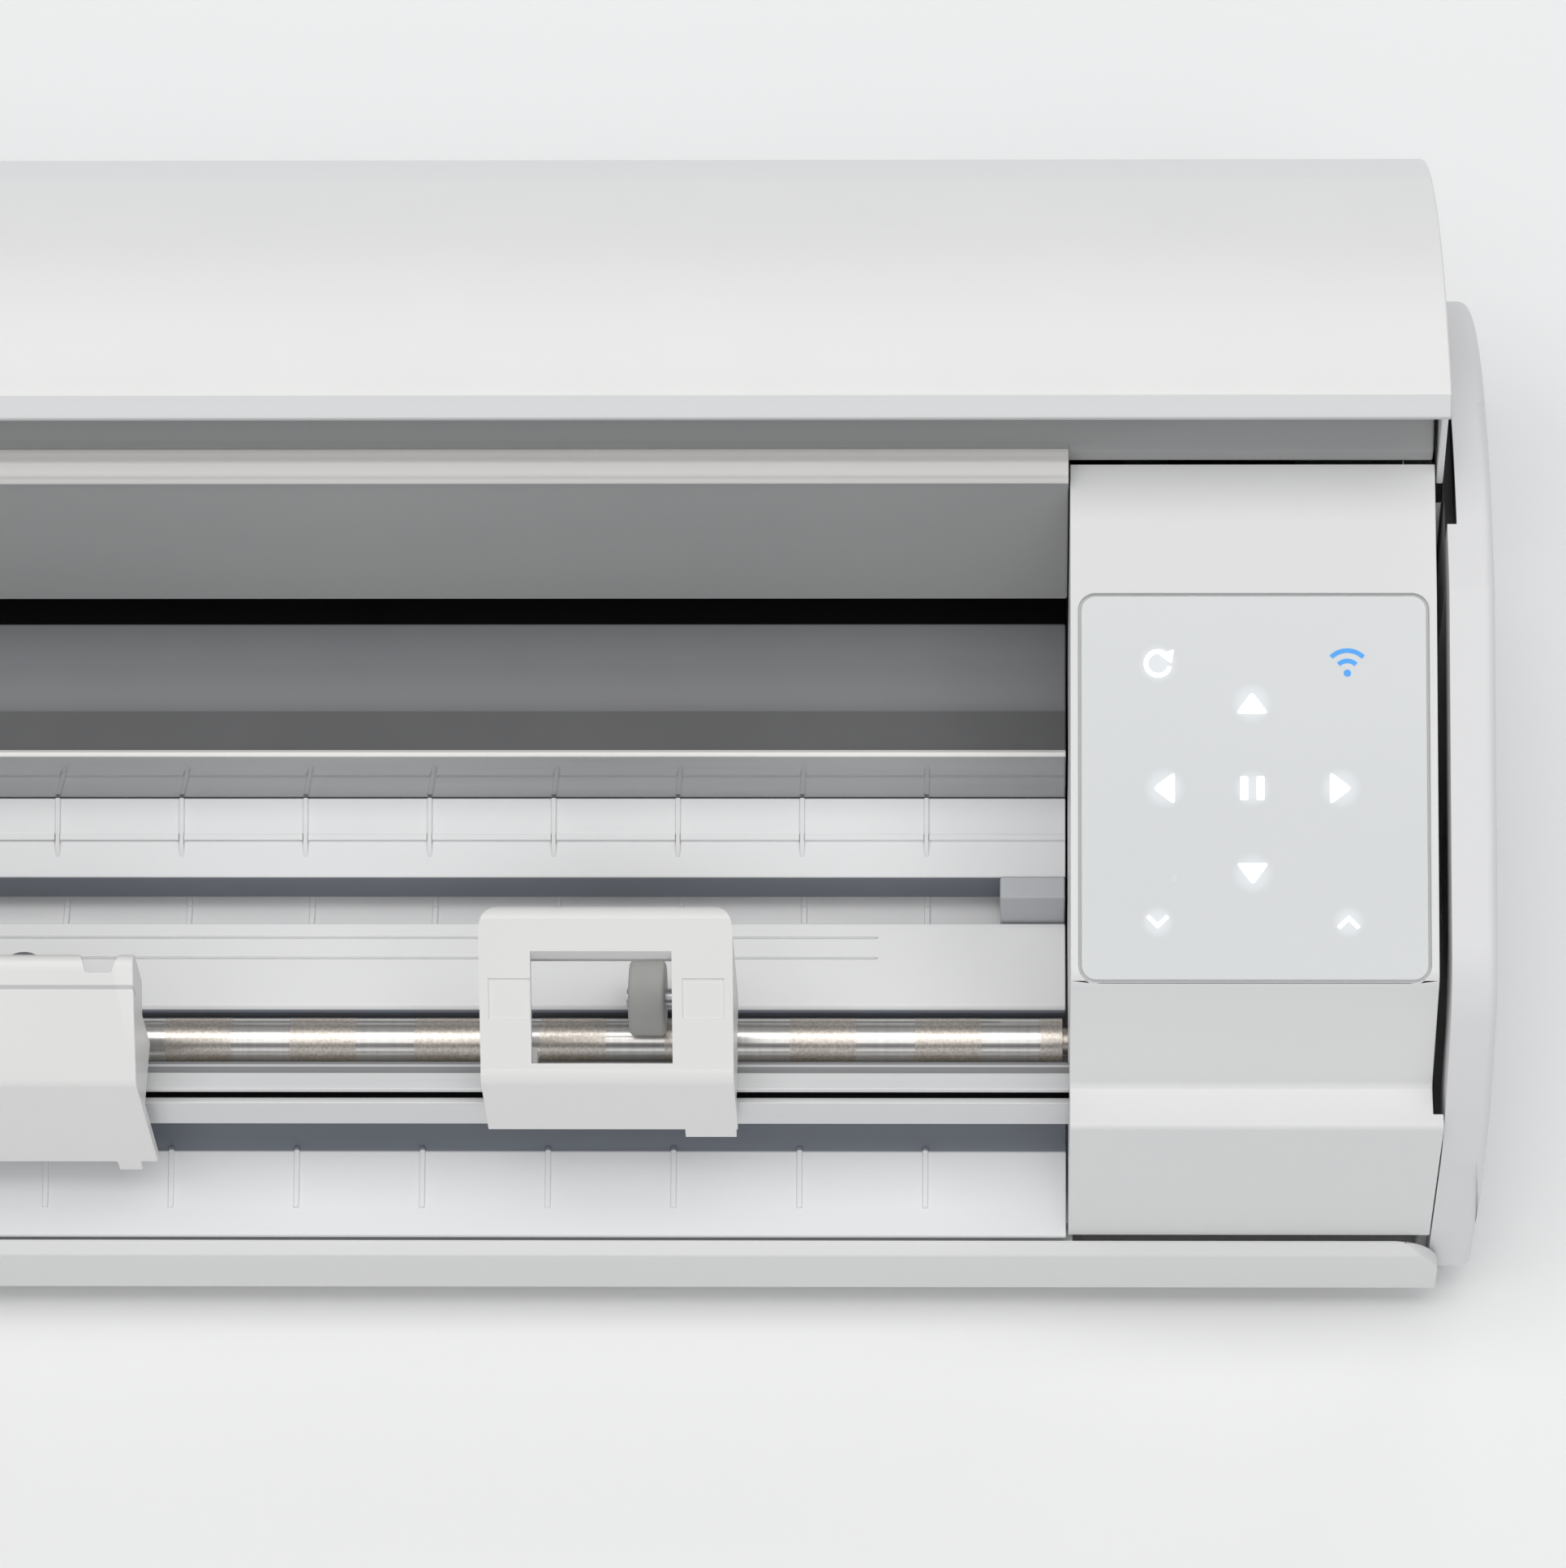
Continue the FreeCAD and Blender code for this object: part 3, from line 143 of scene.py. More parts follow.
class Finish:
    """One procedural material: a Principled shader and the nodes that feed it."""

    def __init__(self, name, **constants):
        self.material = bpy.data.materials.new(name)
        self.material.use_nodes = True
        self.tree = self.material.node_tree
        self.tree.nodes.clear()
        self.shader = self.tree.nodes.new("ShaderNodeBsdfPrincipled")
        output = self.tree.nodes.new("ShaderNodeOutputMaterial")
        self.tree.links.new(self.shader.outputs["BSDF"], output.inputs["Surface"])
        for socket, value in constants.items():
            self.shader.inputs[socket.replace("_", " ")].default_value = value
        self._place = None

    def node(self, kind, settings, values):
        """Any node: its settings first, then the values or links of its sockets."""
        item = self.tree.nodes.new(kind)
        stops = settings.pop("stops", None)
        for key, value in settings.items():
            setattr(item, key, value)
        if stops:
            ramp = item.color_ramp
            while len(ramp.elements) < len(stops):
                ramp.elements.new(0.5)
            for element, (position, colour) in zip(ramp.elements, stops):
                element.position = position
                element.color = (*colour, 1)
        for key, value in values.items():
            socket = item.inputs[key]
            if isinstance(value, Wire):
                self.tree.links.new(value.socket, socket)
            else:
                socket.default_value = value
        return Made(self, item)

    def place(self):
        """Object coordinates, which are the object's own frame in metres."""
        if self._place is None:
            self._place = self.node("ShaderNodeTexCoord", {}, {}).out("Object")
        return self._place

    def axis(self, letter):
        """One of the object coordinates in millimetres."""
        split = self.node("ShaderNodeSeparateXYZ", {}, {"Vector": self.place()})
        return split.out(letter) * 1000

    def stretched(self, x, y, z):
        """Object coordinates scaled by a different amount along each axis."""
        return self.node("ShaderNodeMapping", {}, {"Vector": self.place(), "Scale": (x, y, z)}).out("Vector")

    def noise(self, scale, detail=3.0, rough=0.55, vector=None):
        """Cloudy noise between 0 and 1."""
        values = {"Vector": vector or self.place(), "Scale": scale, "Detail": detail, "Roughness": rough}
        return self.node("ShaderNodeTexNoise", {}, values).out("Fac")

    def specks(self, scale):
        """Distance to the nearest grain centre."""
        values = {"Vector": self.place(), "Scale": scale}
        return self.node("ShaderNodeTexVoronoi", {"feature": "F1"}, values).out("Distance")

    def step(self, value, low, high):
        """0 below the low value, 1 above the high one, smooth between them."""
        values = {"Value": value, "From Min": low, "From Max": high}
        return self.node("ShaderNodeMapRange", {"interpolation_type": "SMOOTHSTEP"}, values).out("Result")

    def band(self, value, low, high, soft):
        """1 between two values, fading to 0 over the soft distance outside them."""
        return self.step(value, low - soft, low) * (1 - self.step(value, high, high + soft))

    def mix(self, factor, first, second):
        """Colour that goes from the first to the second."""
        settings = {"data_type": "RGBA"}
        item = self.node("ShaderNodeMix", settings, {"Factor": factor}).item
        colour_inputs = [s for s in item.inputs if s.type == "RGBA"]
        for socket, colour in zip(colour_inputs, (first, second)):
            if isinstance(colour, Wire):
                self.tree.links.new(colour.socket, socket)
            else:
                socket.default_value = (*colour, 1)
        return Wire(self, next(s for s in item.outputs if s.type == "RGBA"))

    def feed(self, socket, wire):
        """Let a wire drive one socket of the shader."""
        self.tree.links.new(wire.socket, self.shader.inputs[socket])

    def bump(self, height, distance, strength):
        """Let a height drive the shader's normal."""
        values = {"Height": height, "Distance": distance, "Strength": strength}
        self.feed("Normal", self.node("ShaderNodeBump", {}, values).out("Normal"))


def moulded(name, colour, shade, rough=0.42, coat=0.0):
    """Injection-moulded plastic: fine spark texture, slow tone drift and faint handling smudges."""
    finish = Finish(name, Specular_IOR_Level=0.45, Coat_Weight=coat, Coat_Roughness=0.2)
    drift = finish.noise(9, 2)
    smudge = finish.noise(38, 5, 0.62)
    fine = finish.noise(MOULD_GRAIN, 2, 0.5)
    tone = finish.mix((drift * 0.6 + smudge * 0.4).clamp(), shade, colour)
    finish.feed("Base Color", tone)
    finish.feed("Roughness", (rough - 0.05) + smudge * 0.1 + fine * 0.03)
    finish.bump(fine, MOULD_RELIEF, 0.6)
    return finish.material


def ground_metal(name, colour, shade, rough, along, lines):
    """Metal with fine drawn lines along one axis."""
    finish = Finish(name, Metallic=1.0)
    scale = {"x": (6, lines, lines), "y": (lines, 6, lines), "z": (lines, lines, 6)}[along]
    drawn = finish.noise(1.0, 3, 0.6, finish.stretched(*scale))
    cloud = finish.noise(30, 4)
    finish.feed("Base Color", finish.mix((drawn * 0.5 + cloud * 0.5).clamp(), shade, colour))
    finish.feed("Roughness", (rough - 0.08) + drawn * 0.16)
    finish.bump(drawn, DRAWN_RELIEF, 0.5)
    return finish.material


def rubber(name, colour, shade):
    """Moulded rubber: matt, finely grained and slightly worn."""
    finish = Finish(name, Specular_IOR_Level=0.35)
    fine = finish.noise(RUBBER_GRAIN, 3, 0.6)
    wear = finish.noise(120, 4, 0.6)
    finish.feed("Base Color", finish.mix((fine * 0.4 + wear * 0.6).clamp(), shade, colour))
    finish.feed("Roughness", RUBBER_ROUGH + wear * 0.14)
    finish.bump(fine, RUBBER_RELIEF, 0.6)
    return finish.material


def grit_steel():
    """Ground feed shaft with bands of fine grit where the pinch wheels can stand."""
    finish = Finish("grit_shaft_steel", Metallic=0.85)
    across = finish.axis("X")
    turned = finish.noise(1.0, 3, 0.6, finish.stretched(1400, 8, 8))
    grain = finish.specks(1500)
    cell = ((across + 400) / GRIT_PITCH).fraction()
    grit = finish.band(cell, 0.22, 0.74, 0.01)
    bare = finish.mix(turned, (0.62, 0.6, 0.58), (0.86, 0.84, 0.82))
    rough_band = finish.mix(grain, (0.56, 0.5, 0.44), (0.82, 0.77, 0.71))
    finish.feed("Base Color", finish.mix(grit, bare, rough_band))
    finish.feed("Roughness", 0.2 + grit * 0.1 + turned * 0.06)
    finish.bump(grain * grit + turned * 0.1, 0.000012, 0.5)
    return finish.material


def touch_glass(symbols):
    """Back-lit touch face: cool white with a soft glow round each lit symbol."""
    finish = Finish("touch_face", Specular_IOR_Level=0.5, Coat_Weight=0.35, Coat_Roughness=0.12)
    across, back, up = (finish.axis(letter) for letter in "XYZ")
    glow = None
    for x, y, z, reach in symbols:
        dx = across - x * 1000
        dy = back - y * 1000
        dz = up - z * 1000
        far = (dx * dx + dy * dy + dz * dz) / (reach * reach)
        one = 1 - finish.step(far, 0.0, 1.0)
        glow = one if glow is None else glow + one
    glow = glow.clamp()
    drift = finish.noise(14, 2)
    cool = finish.mix(drift, (0.715, 0.735, 0.74), (0.745, 0.76, 0.77))
    finish.feed("Base Color", finish.mix(glow * 0.5, cool, (0.86, 0.9, 0.93)))
    finish.shader.inputs["Emission Strength"].default_value = 0.06
    finish.feed("Emission Color", finish.mix(glow, (0.0, 0.0, 0.0), (0.85, 0.93, 1.0)))
    finish.feed("Roughness", 0.2 + finish.noise(60, 4) * 0.1)
    finish.bump(finish.noise(900, 2), 0.000003, 0.4)
    return finish.material


def lit(name, colour, strength):
    """Back-lit symbol with a slightly uneven glow."""
    finish = Finish(name, Roughness=0.35, Emission_Strength=strength)
    cloud = finish.noise(500, 2)
    dim = tuple(part * 0.88 for part in colour)
    finish.feed("Base Color", finish.mix(cloud, dim, colour))
    finish.feed("Emission Color", finish.mix(cloud, dim, colour))
    return finish.material


def circuit_board():
    """Green solder mask with copper tracks and pads."""
    finish = Finish("circuit_board", Specular_IOR_Level=0.5)
    cell = finish.node(
        "ShaderNodeTexVoronoi",
        {"feature": "F1", "distance": "MANHATTAN"},
        {"Vector": finish.place(), "Scale": 420},
    ).out("Distance")
    track = finish.band(cell, 0.55, 0.62, 0.03)
    finish.feed("Base Color", finish.mix(track, (0.015, 0.12, 0.05), (0.1, 0.34, 0.16)))
    finish.feed("Roughness", 0.35 + track * 0.1)
    finish.bump(track, 0.00003, 0.5)
    return finish.material


def toothed_belt():
    """Black belt with cross teeth."""
    finish = Finish("toothed_belt", Roughness=0.6)
    tooth = finish.band((finish.axis("X") / 2).fraction(), 0.2, 0.7, 0.1)
    weave = finish.noise(2000, 2)
    finish.feed("Base Color", finish.mix(weave, (0.012, 0.012, 0.013), (0.03, 0.03, 0.032)))
    finish.bump(tooth + weave * 0.1, 0.0002, 0.6)
    return finish.material


def glossy_riser():
    """Polished grey strip that mirrors the ribbed deck, with a painted highlight along its top edge."""
    finish = Finish("glossy_strip", Specular_IOR_Level=0.7, Coat_Weight=0.6, Coat_Roughness=0.04)
    streak = finish.noise(1.0, 3, 0.6, finish.stretched(12, 200, 200))
    # Painted highlight: a near-white, non-metallic band along the top edge stands in for light caught on its
    # small bevel.
    edge = finish.axis("Z").above(75.2, 0.15)
    face = finish.mix(streak, (0.36, 0.365, 0.375), (0.44, 0.445, 0.455))
    finish.feed("Base Color", finish.mix(edge, face, (0.95, 0.93, 0.9)))
    finish.feed("Roughness", 0.06 + streak * 0.05)
    finish.feed("Metallic", (0.62 + streak * 0.1) * (1 - edge))
    return finish.material


def depth(finish):
    """Distance behind the front lip in millimetres."""
    return finish.axis("Y") + PIVOT_BACK


def pivot_distance(finish):
    """Distance from the lid's hinge line in millimetres."""
    back = depth(finish) - PIVOT_BACK
    up = finish.axis("Z") - PIVOT_UP
    return (back * back + up * up).power(0.5)


def guide_plastic():
    """Grey guide plate: painted black shade where it runs in under the hood, and a darker grey as painted
    shade on the level part at its front.
    """
    finish = Finish("guide_plastic", Specular_IOR_Level=0.5)
    back = depth(finish)
    fine = finish.noise(2200, 2)
    cloud = finish.noise(40, 3)
    grey = finish.mix(cloud, (0.21, 0.213, 0.225), (0.25, 0.253, 0.265))
    # Painted shade: a darker grey for the level front part, which lies in shade under the hood.
    shaded_shelf = finish.mix(cloud, (0.13, 0.132, 0.135), (0.16, 0.162, 0.166))
    front = finish.mix(back.above(104.6, 0.3), shaded_shelf, grey)
    # Painted shade: near black behind 120.2 mm, where the plate runs in under the hood.
    finish.feed("Base Color", finish.mix(back.above(120.2, 0.2), front, (0.004, 0.004, 0.004)))
    finish.feed("Roughness", 0.4 + cloud * 0.1)
    finish.bump(fine, 0.00001, 0.5)
    return finish.material


def hood_plastic():
    """Grey hood: textured outside, painted black shade inside."""
    finish = Finish("hood_plastic", Specular_IOR_Level=0.4)
    back = depth(finish)
    up = finish.axis("Z")
    radius = pivot_distance(finish)
    inside = (1 - radius.above(107.6, 0.2)) * (1 - up.above(147, 0.3))
    # Painted shade: the inner side of the hood behind its front wall is coloured near black.
    shade_behind_wall = finish.band(back, 116.8, 192, 0.1) * inside
    fine = finish.noise(2400, 2)
    cloud = finish.noise(12, 3)
    grey = finish.mix(cloud, (0.36, 0.362, 0.365), (0.41, 0.412, 0.41))
    finish.feed("Base Color", finish.mix(shade_behind_wall, grey, (0.004, 0.004, 0.004)))
    finish.feed("Roughness", 0.42 + cloud * 0.1)
    finish.bump(fine, 0.00002, 0.5)
    return finish.material


def lid_plastic():
    """Satin lid: a cooler, darker strip past the crease near its rear edge and a greyer front bevel, both
    painted shade.
    """
    finish = Finish("lid_white", Specular_IOR_Level=0.45)
    back = depth(finish)
    up = finish.axis("Z")
    smudge = finish.noise(34, 5, 0.6)
    fine = finish.noise(1800, 2)
    white = finish.mix(smudge, (0.835, 0.832, 0.825), (0.87, 0.866, 0.857))
    # Painted shade: the strip and bevel tones are darker copies of the lid white for faces that turn away
    # from the light.
    strip = finish.mix(smudge, (0.818, 0.822, 0.828), (0.85, 0.853, 0.858))
    bevel = finish.mix(smudge, (0.665, 0.67, 0.675), (0.69, 0.695, 0.7))
    # Painted shade: masks for the strip past the crease and for the front bevel.
    strip_shade_mask = (back - PIVOT_BACK).above(72.9, 0.3) * (1 - up.above(149.2, 0.3))
    front = 1 - back.above(119.2, 0.15)
    finish.feed("Base Color", finish.mix(front, finish.mix(strip_shade_mask, white, strip), bevel))
    finish.feed("Roughness", 0.32 + smudge * 0.09)
    finish.bump(fine, 0.000006, 0.6)
    return finish.material


def cap_plastic():
    """End cap moulding: fine grain, and painted black shade on the walls of the slot along the inner edge of
    its crest.
    """
    finish = Finish("cap_white", Specular_IOR_Level=0.45)
    smudge = finish.noise(38, 5, 0.62)
    fine = finish.noise(2600, 2)
    inner = 1 - finish.axis("X").absolute().above(277.62, 0.04)
    crest = finish.band(pivot_distance(finish), 81.4, 87.4, 0.2) * depth(finish).above(108.3, 0.2)
    # Painted shade: the slot walls on the inner side of the crest are coloured near black.
    groove_shade = inner * crest * finish.axis("Z").above(95, 1)
    white = finish.mix(smudge, (0.78, 0.78, 0.79), (0.82, 0.82, 0.825))
    finish.feed("Base Color", finish.mix(groove_shade, white, (0.012, 0.012, 0.013)))
    finish.feed("Roughness", 0.36 + smudge * 0.1)
    finish.bump(fine, MOULD_RELIEF, 0.6)
    return finish.material


def bed_plastic():
    """Bed mouldings: near white, with painted blue-grey shade in the step under the deck, under the rail and
    on the wall of the gap before the roller; paler on the top of the landing bar.
    """
    finish = Finish("bed_white", Specular_IOR_Level=0.45)
    back = depth(finish)
    up = finish.axis("Z")
    cloud = finish.noise(30, 4, 0.6)
    fine = finish.noise(2400, 2)
    white = finish.mix(cloud, (0.86, 0.865, 0.875), (0.9, 0.903, 0.91))
    shade_blue_grey = finish.mix(cloud, (0.15, 0.168, 0.2), (0.19, 0.208, 0.245))
    # Painted shade: the step under the deck, the strip under the rail and the wall by the roller gap take a
    # blue-grey shade colour.
    step = finish.band(back, 76.8, 78.3, 0.1) * (1 - up.above(49.7, 0.2)) * up.above(36.2, 0.3)
    below = finish.band(back, 20.4, 27.7, 0.5) * (1 - up.above(38.6, 0.2))
    gap_wall_shade = finish.band(back, 50.2, 51.2, 0.1) * (1 - up.above(39.3, 0.1))
    bar_top = finish.band(back, 51.6, 72.0, 0.1) * up.above(39.4, 0.1)
    painted_shade = (step + below + gap_wall_shade).clamp()
    pale = finish.mix(bar_top, white, (0.97, 0.972, 0.975))
    finish.feed("Base Color", finish.mix(painted_shade, pale, shade_blue_grey))
    finish.feed("Roughness", 0.36 + cloud * 0.1)
    finish.bump(fine, MOULD_RELIEF, 0.6)
    return finish.material


def carriage_plastic():
    """Housing white, with one sunk seam across the slope of the hood painted grey as shade in it."""
    finish = Finish("carriage_white", Specular_IOR_Level=0.45)
    cloud = finish.noise(34, 5, 0.6)
    fine = finish.noise(2600, 2)
    # Painted shade: the sunk seam across the slope is coloured mid grey.
    groove_shade = finish.band(depth(finish), 27.3, 27.9, 0.08) * finish.axis("Z").above(90, 0.5)
    white = finish.mix(cloud, (0.85, 0.845, 0.835), (0.88, 0.875, 0.86))
    finish.feed("Base Color", finish.mix(groove_shade * 0.75, white, (0.5, 0.5, 0.5)))
    finish.feed("Roughness", 0.3 + cloud * 0.1)
    finish.bump(fine * 0.1 + (1 - groove_shade), 0.00008, 0.5)
    return finish.material


def anodised_rail():
    """Anodised rail with drawn lines, its rear step painted darker as shade, and one narrow band on the step
    kept light as a painted highlight on its rolled edge.
    """
    finish = Finish("anodised_rail")
    back = depth(finish)
    drawn = finish.noise(1.0, 3, 0.6, finish.stretched(5, 1500, 1500))
    light = finish.mix(drawn, (0.72, 0.725, 0.73), (0.8, 0.805, 0.81))
    # Painted shade: a darker copy of the rail colour for the rear step.
    step = finish.mix(drawn, (0.3, 0.3, 0.31), (0.4, 0.4, 0.41))
    # Painted highlight: a narrow band on the step keeps the light colour.
    line = finish.band(back, 25.2, 25.7, 0.1)
    finish.feed("Base Color", finish.mix(back.above(23.5, 0.1) * (1 - line), light, step))
    finish.feed("Metallic", 0.25 + drawn * 0.15)
    finish.feed("Roughness", 0.36 + drawn * 0.14)
    finish.bump(drawn, 0.000006, 0.5)
    return finish.material


def floor_sweep():
    """Matt, nearly white floor."""
    finish = Finish("pale_floor", Specular_IOR_Level=0.1)
    cloud = finish.noise(4, 2)
    finish.feed("Base Color", finish.mix(cloud, (0.97, 0.97, 0.97), (0.985, 0.985, 0.985)))
    finish.feed("Roughness", 0.75 + cloud * 0.1)
    return finish.material


# ---------------------------------------------------------------- pieces made from the frame


def new_piece(name, vertices, faces, material, body, smooth=True):
    """A mesh piece from whole arrays that rides on a body and takes its finish from a slot."""
    mesh = bpy.data.meshes.new(name)
    mesh.from_pydata([tuple(v) for v in vertices], [], [tuple(f) for f in faces])
    mesh.validate()
    mesh.update()
    piece = bpy.data.objects.new(name, mesh)
    bpy.context.scene.collection.objects.link(piece)
    finish_mesh(piece, smooth)
    mesh.materials.append(material)
    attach(piece, body)


def finish_mesh(piece, smooth):
    """Outward normals, and smooth shading that breaks at edges sharper than the limit."""
    work = bmesh.new()
    work.from_mesh(piece.data)
    bmesh.ops.recalc_face_normals(work, faces=work.faces)
    for face in work.faces:
        face.smooth = smooth
    for edge in work.edges:
        edge.smooth = len(edge.link_faces) == 2 and edge.calc_face_angle(0) < SMOOTH_LIMIT
    work.to_mesh(piece.data)
    work.free()


def join_flat_regions(work):
    """Make one face of every flat region that has a single outline; a region with a hole stays as it is."""
    shared = [edge for edge in work.edges if len(edge.link_faces) == 2]
    flat = {edge for edge in shared if edge.calc_face_angle(9) < FLAT_LIMIT}
    seen = set()
    regions = []
    for start in work.faces:
        if start in seen:
            continue
        region = [start]
        seen.add(start)
        for face in region:
            for edge in flat.intersection(face.edges):
                for other in edge.link_faces:
                    if other not in seen:
                        seen.add(other)
                        region.append(other)
        corners = {vertex for face in region for vertex in face.verts}
        sides = {edge for face in region for edge in face.edges}
        if len(region) > 1 and len(corners) - len(sides) + len(region) == 1:
            regions.append(region)
    for region in regions:
        bmesh.ops.dissolve_faces(work, faces=region)


def softened(node, width, material):
    """The node's own shape with its sharp edges rounded to a small radius, standing in for the node."""
    source = NODES[node]
    mesh = source.data.copy()
    mesh.name = node + "_soft"
    if "custom_normal" in mesh.attributes:
        mesh.attributes.remove(mesh.attributes["custom_normal"])
    piece = bpy.data.objects.new(node + "_soft", mesh)
    bpy.context.scene.collection.objects.link(piece)
    work = bmesh.new()
    work.from_mesh(mesh)
    bmesh.ops.remove_doubles(work, verts=work.verts, dist=WELD_DISTANCE)
    join_flat_regions(work)
    for face in work.faces:
        face.smooth = True
    work.to_mesh(mesh)
    work.free()
    bevel = piece.modifiers.new("Edges", "BEVEL")
    bevel.width = width
    bevel.segments = EDGE_SEGMENTS
    bevel.limit_method = "ANGLE"
    bevel.angle_limit = EDGE_LIMIT
    bevel.use_clamp_overlap = False
    bevel.harden_normals = True
    bevel.miter_outer = "MITER_ARC"
    mesh.materials.clear()
    mesh.materials.append(material)
    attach(piece, OBJECT_BODY[node])
    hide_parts(node)


def finish_nodes(material, *names):
    """Give CAD nodes a finish through their slots."""
    for name in names:
        for slot in NODES[name].material_slots:
            slot.material = material


# ---------------------------------------------------------------- touch panel symbols

PANEL_TILT = math.radians(24)
PANEL_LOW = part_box("touch_panel")[0]
PANEL_THICK = 1.2 * MM
UP_SLOPE = np.array([0, math.cos(PANEL_TILT), math.sin(PANEL_TILT)])
OUT_OF_SLOPE = np.array([0, -math.sin(PANEL_TILT), math.cos(PANEL_TILT)])
PANEL_CORNER = np.array([PANEL_LOW.x, PANEL_LOW.y, PANEL_LOW.z + PANEL_THICK * math.cos(PANEL_TILT)])
PANEL_LONG = 78 * MM
PLATE_RAISED = 0.06 * MM
PLATE_SUNK = 0.02 * MM


def on_panel(across, down):
    """Point on the touch face, from millimetres right of its left edge and down from its upper edge."""
    return PANEL_CORNER + np.array([across * MM, 0, 0]) + UP_SLOPE * (PANEL_LONG - down * MM)


def plate_on_panel(name, outline, across, down, material):
    """Thin flat plate on the touch face: an outline, y up the slope, raised along the normal."""
    flat = np.asarray(outline, float) * MM
    middle = on_panel(across, down)
    base = middle + np.outer(flat[:, 0], [1, 0, 0]) + np.outer(flat[:, 1], UP_SLOPE)
    lower = base - OUT_OF_SLOPE * PLATE_SUNK
    upper = base + OUT_OF_SLOPE * PLATE_RAISED
    count = len(flat)
    ring = np.arange(count)
    sides = np.stack([ring, np.roll(ring, -1), np.roll(ring, -1) + count, ring + count], 1)
    faces = [list(ring[::-1]), list(ring + count)] + sides.tolist()
    new_piece(name, np.vstack([lower, upper]), faces, material, "case", smooth=False)


def rounded_polygon(corners, radius):
    """Polygon whose corners are quadratic curves that start a given distance before each corner."""
    corners = np.asarray(corners, float)
    before = np.roll(corners, 1, 0)
    after = np.roll(corners, -1, 0)
    into = before - corners
    away = after - corners
    start = corners + into / np.linalg.norm(into, axis=1)[:, None] * radius
    stop = corners + away / np.linalg.norm(away, axis=1)[:, None] * radius
    t = np.linspace(0, 1, CORNER_POINTS)[None, :, None]
    curve = (1 - t) ** 2 * start[:, None] + 2 * t * (1 - t) * corners[:, None] + t**2 * stop[:, None]
    return curve.reshape(-1, 2)


def arc_band(radius, width, first, last):
    """Part of a ring between two angles in degrees."""
    turn = np.radians(np.linspace(first, last, ARC_POINTS))
    outer = np.stack([np.cos(turn), np.sin(turn)], 1) * (radius + width / 2)
    inner = np.stack([np.cos(turn), np.sin(turn)], 1)[::-1] * (radius - width / 2)
    return np.vstack([outer, inner])


TRIANGLE = rounded_polygon([(-3.3, -2.1), (3.3, -2.1), (0, 2.3)], 0.9)
CHEVRON = np.array([(-2.3, 0.9), (-1.75, 1.45), (0, -0.25), (1.75, 1.45), (2.3, 0.9), (0, -1.35)])
BAR = rounded_polygon([(-0.75, -2.4), (0.75, -2.4), (0.75, 2.4), (-0.75, 2.4)], 0.3)
DOT_TURN = np.radians(np.linspace(0, 360, 24, endpoint=False))
DOT = np.stack([np.cos(DOT_TURN), np.sin(DOT_TURN)], 1)
MID_X = 34.6
MID_DOWN = 39.2


def turned(outline, degrees):
    """The outline turned anticlockwise about its origin."""
    angle = math.radians(degrees)
    matrix = np.array([[math.cos(angle), math.sin(angle)], [-math.sin(angle), math.cos(angle)]])
    return np.asarray(outline) @ matrix


def touch_symbols(white, blue):
    """Lit symbols: four arrows round a pause sign, turn-again arrow, wireless sign and two chevrons."""
    for name, degrees, across, down in (
        ("arrow_up", 0, MID_X, MID_DOWN - 17.3),
        ("arrow_left", 90, MID_X - 17.8, MID_DOWN),
        ("arrow_down", 180, MID_X, MID_DOWN + 17.3),
        ("arrow_right", -90, MID_X + 17.8, MID_DOWN),
    ):
        plate_on_panel(name, turned(TRIANGLE, degrees), across, down, white)
    for side, shift in (("left", -1.65), ("right", 1.65)):
        plate_on_panel("pause_bar_" + side, BAR, MID_X + shift, MID_DOWN, white)
    plate_on_panel("chevron_down", CHEVRON, 15.4, 66.3, white)
    plate_on_panel("chevron_up", turned(CHEVRON, 180), 53.9, 66.3, white)
    plate_on_panel("again_ring", arc_band(2.45, 0.85, 60, 345), 15.6, 13.8, white)
    head = rounded_polygon([(-1.5, -1.0), (1.5, -1.0), (0.2, 1.6)], 0.3)
    plate_on_panel("again_head", turned(head, -35) + np.array([2.1, 1.7]), 15.6, 13.8, white)
    plate_on_panel("wireless_dot", DOT * 0.75, 53.9, 15.8, blue)
    for name, radius in (("wireless_arc_near", 2.5), ("wireless_arc_far", 4.6)):
        plate_on_panel(name, arc_band(radius, 0.95, 45, 135), 53.9, 15.8, blue)


def symbol_glow():
    """Centres of the white symbols, with the reach of each glow in millimetres."""
    spots = [
        (MID_X, MID_DOWN - 17.3, 4.6),
        (MID_X - 17.8, MID_DOWN, 4.6),
        (MID_X, MID_DOWN + 17.3, 4.6),
        (MID_X + 17.8, MID_DOWN, 4.6),
        (MID_X, MID_DOWN, 4.2),
        (15.6, 13.8, 4.4),
        (15.4, 66.3, 3.6),
        (53.9, 66.3, 3.6),
    ]
    return [(*on_panel(across, down), reach) for across, down, reach in spots]


# ---------------------------------------------------------------- surfaces swept across the machine


def swept(name, profile, x_from, x_to, material, body):
    """Closed outline (millimetres behind the lip, height) carried straight across, capped at both ends."""
    ring = np.asarray(profile, float)
    count = len(ring)
    ends = []
    for x in (x_from, x_to):
        ends.append(np.column_stack([np.full(count, x), ring[:, 0] - PIVOT_BACK, ring[:, 1]]) * MM)
    index = np.arange(count)
    sides = np.stack([index, np.roll(index, -1), np.roll(index, -1) + count, index + count], 1)
    faces = sides.tolist() + [list(index[::-1]), list(index + count)]
    new_piece(name, np.vstack(ends), faces, material, body)


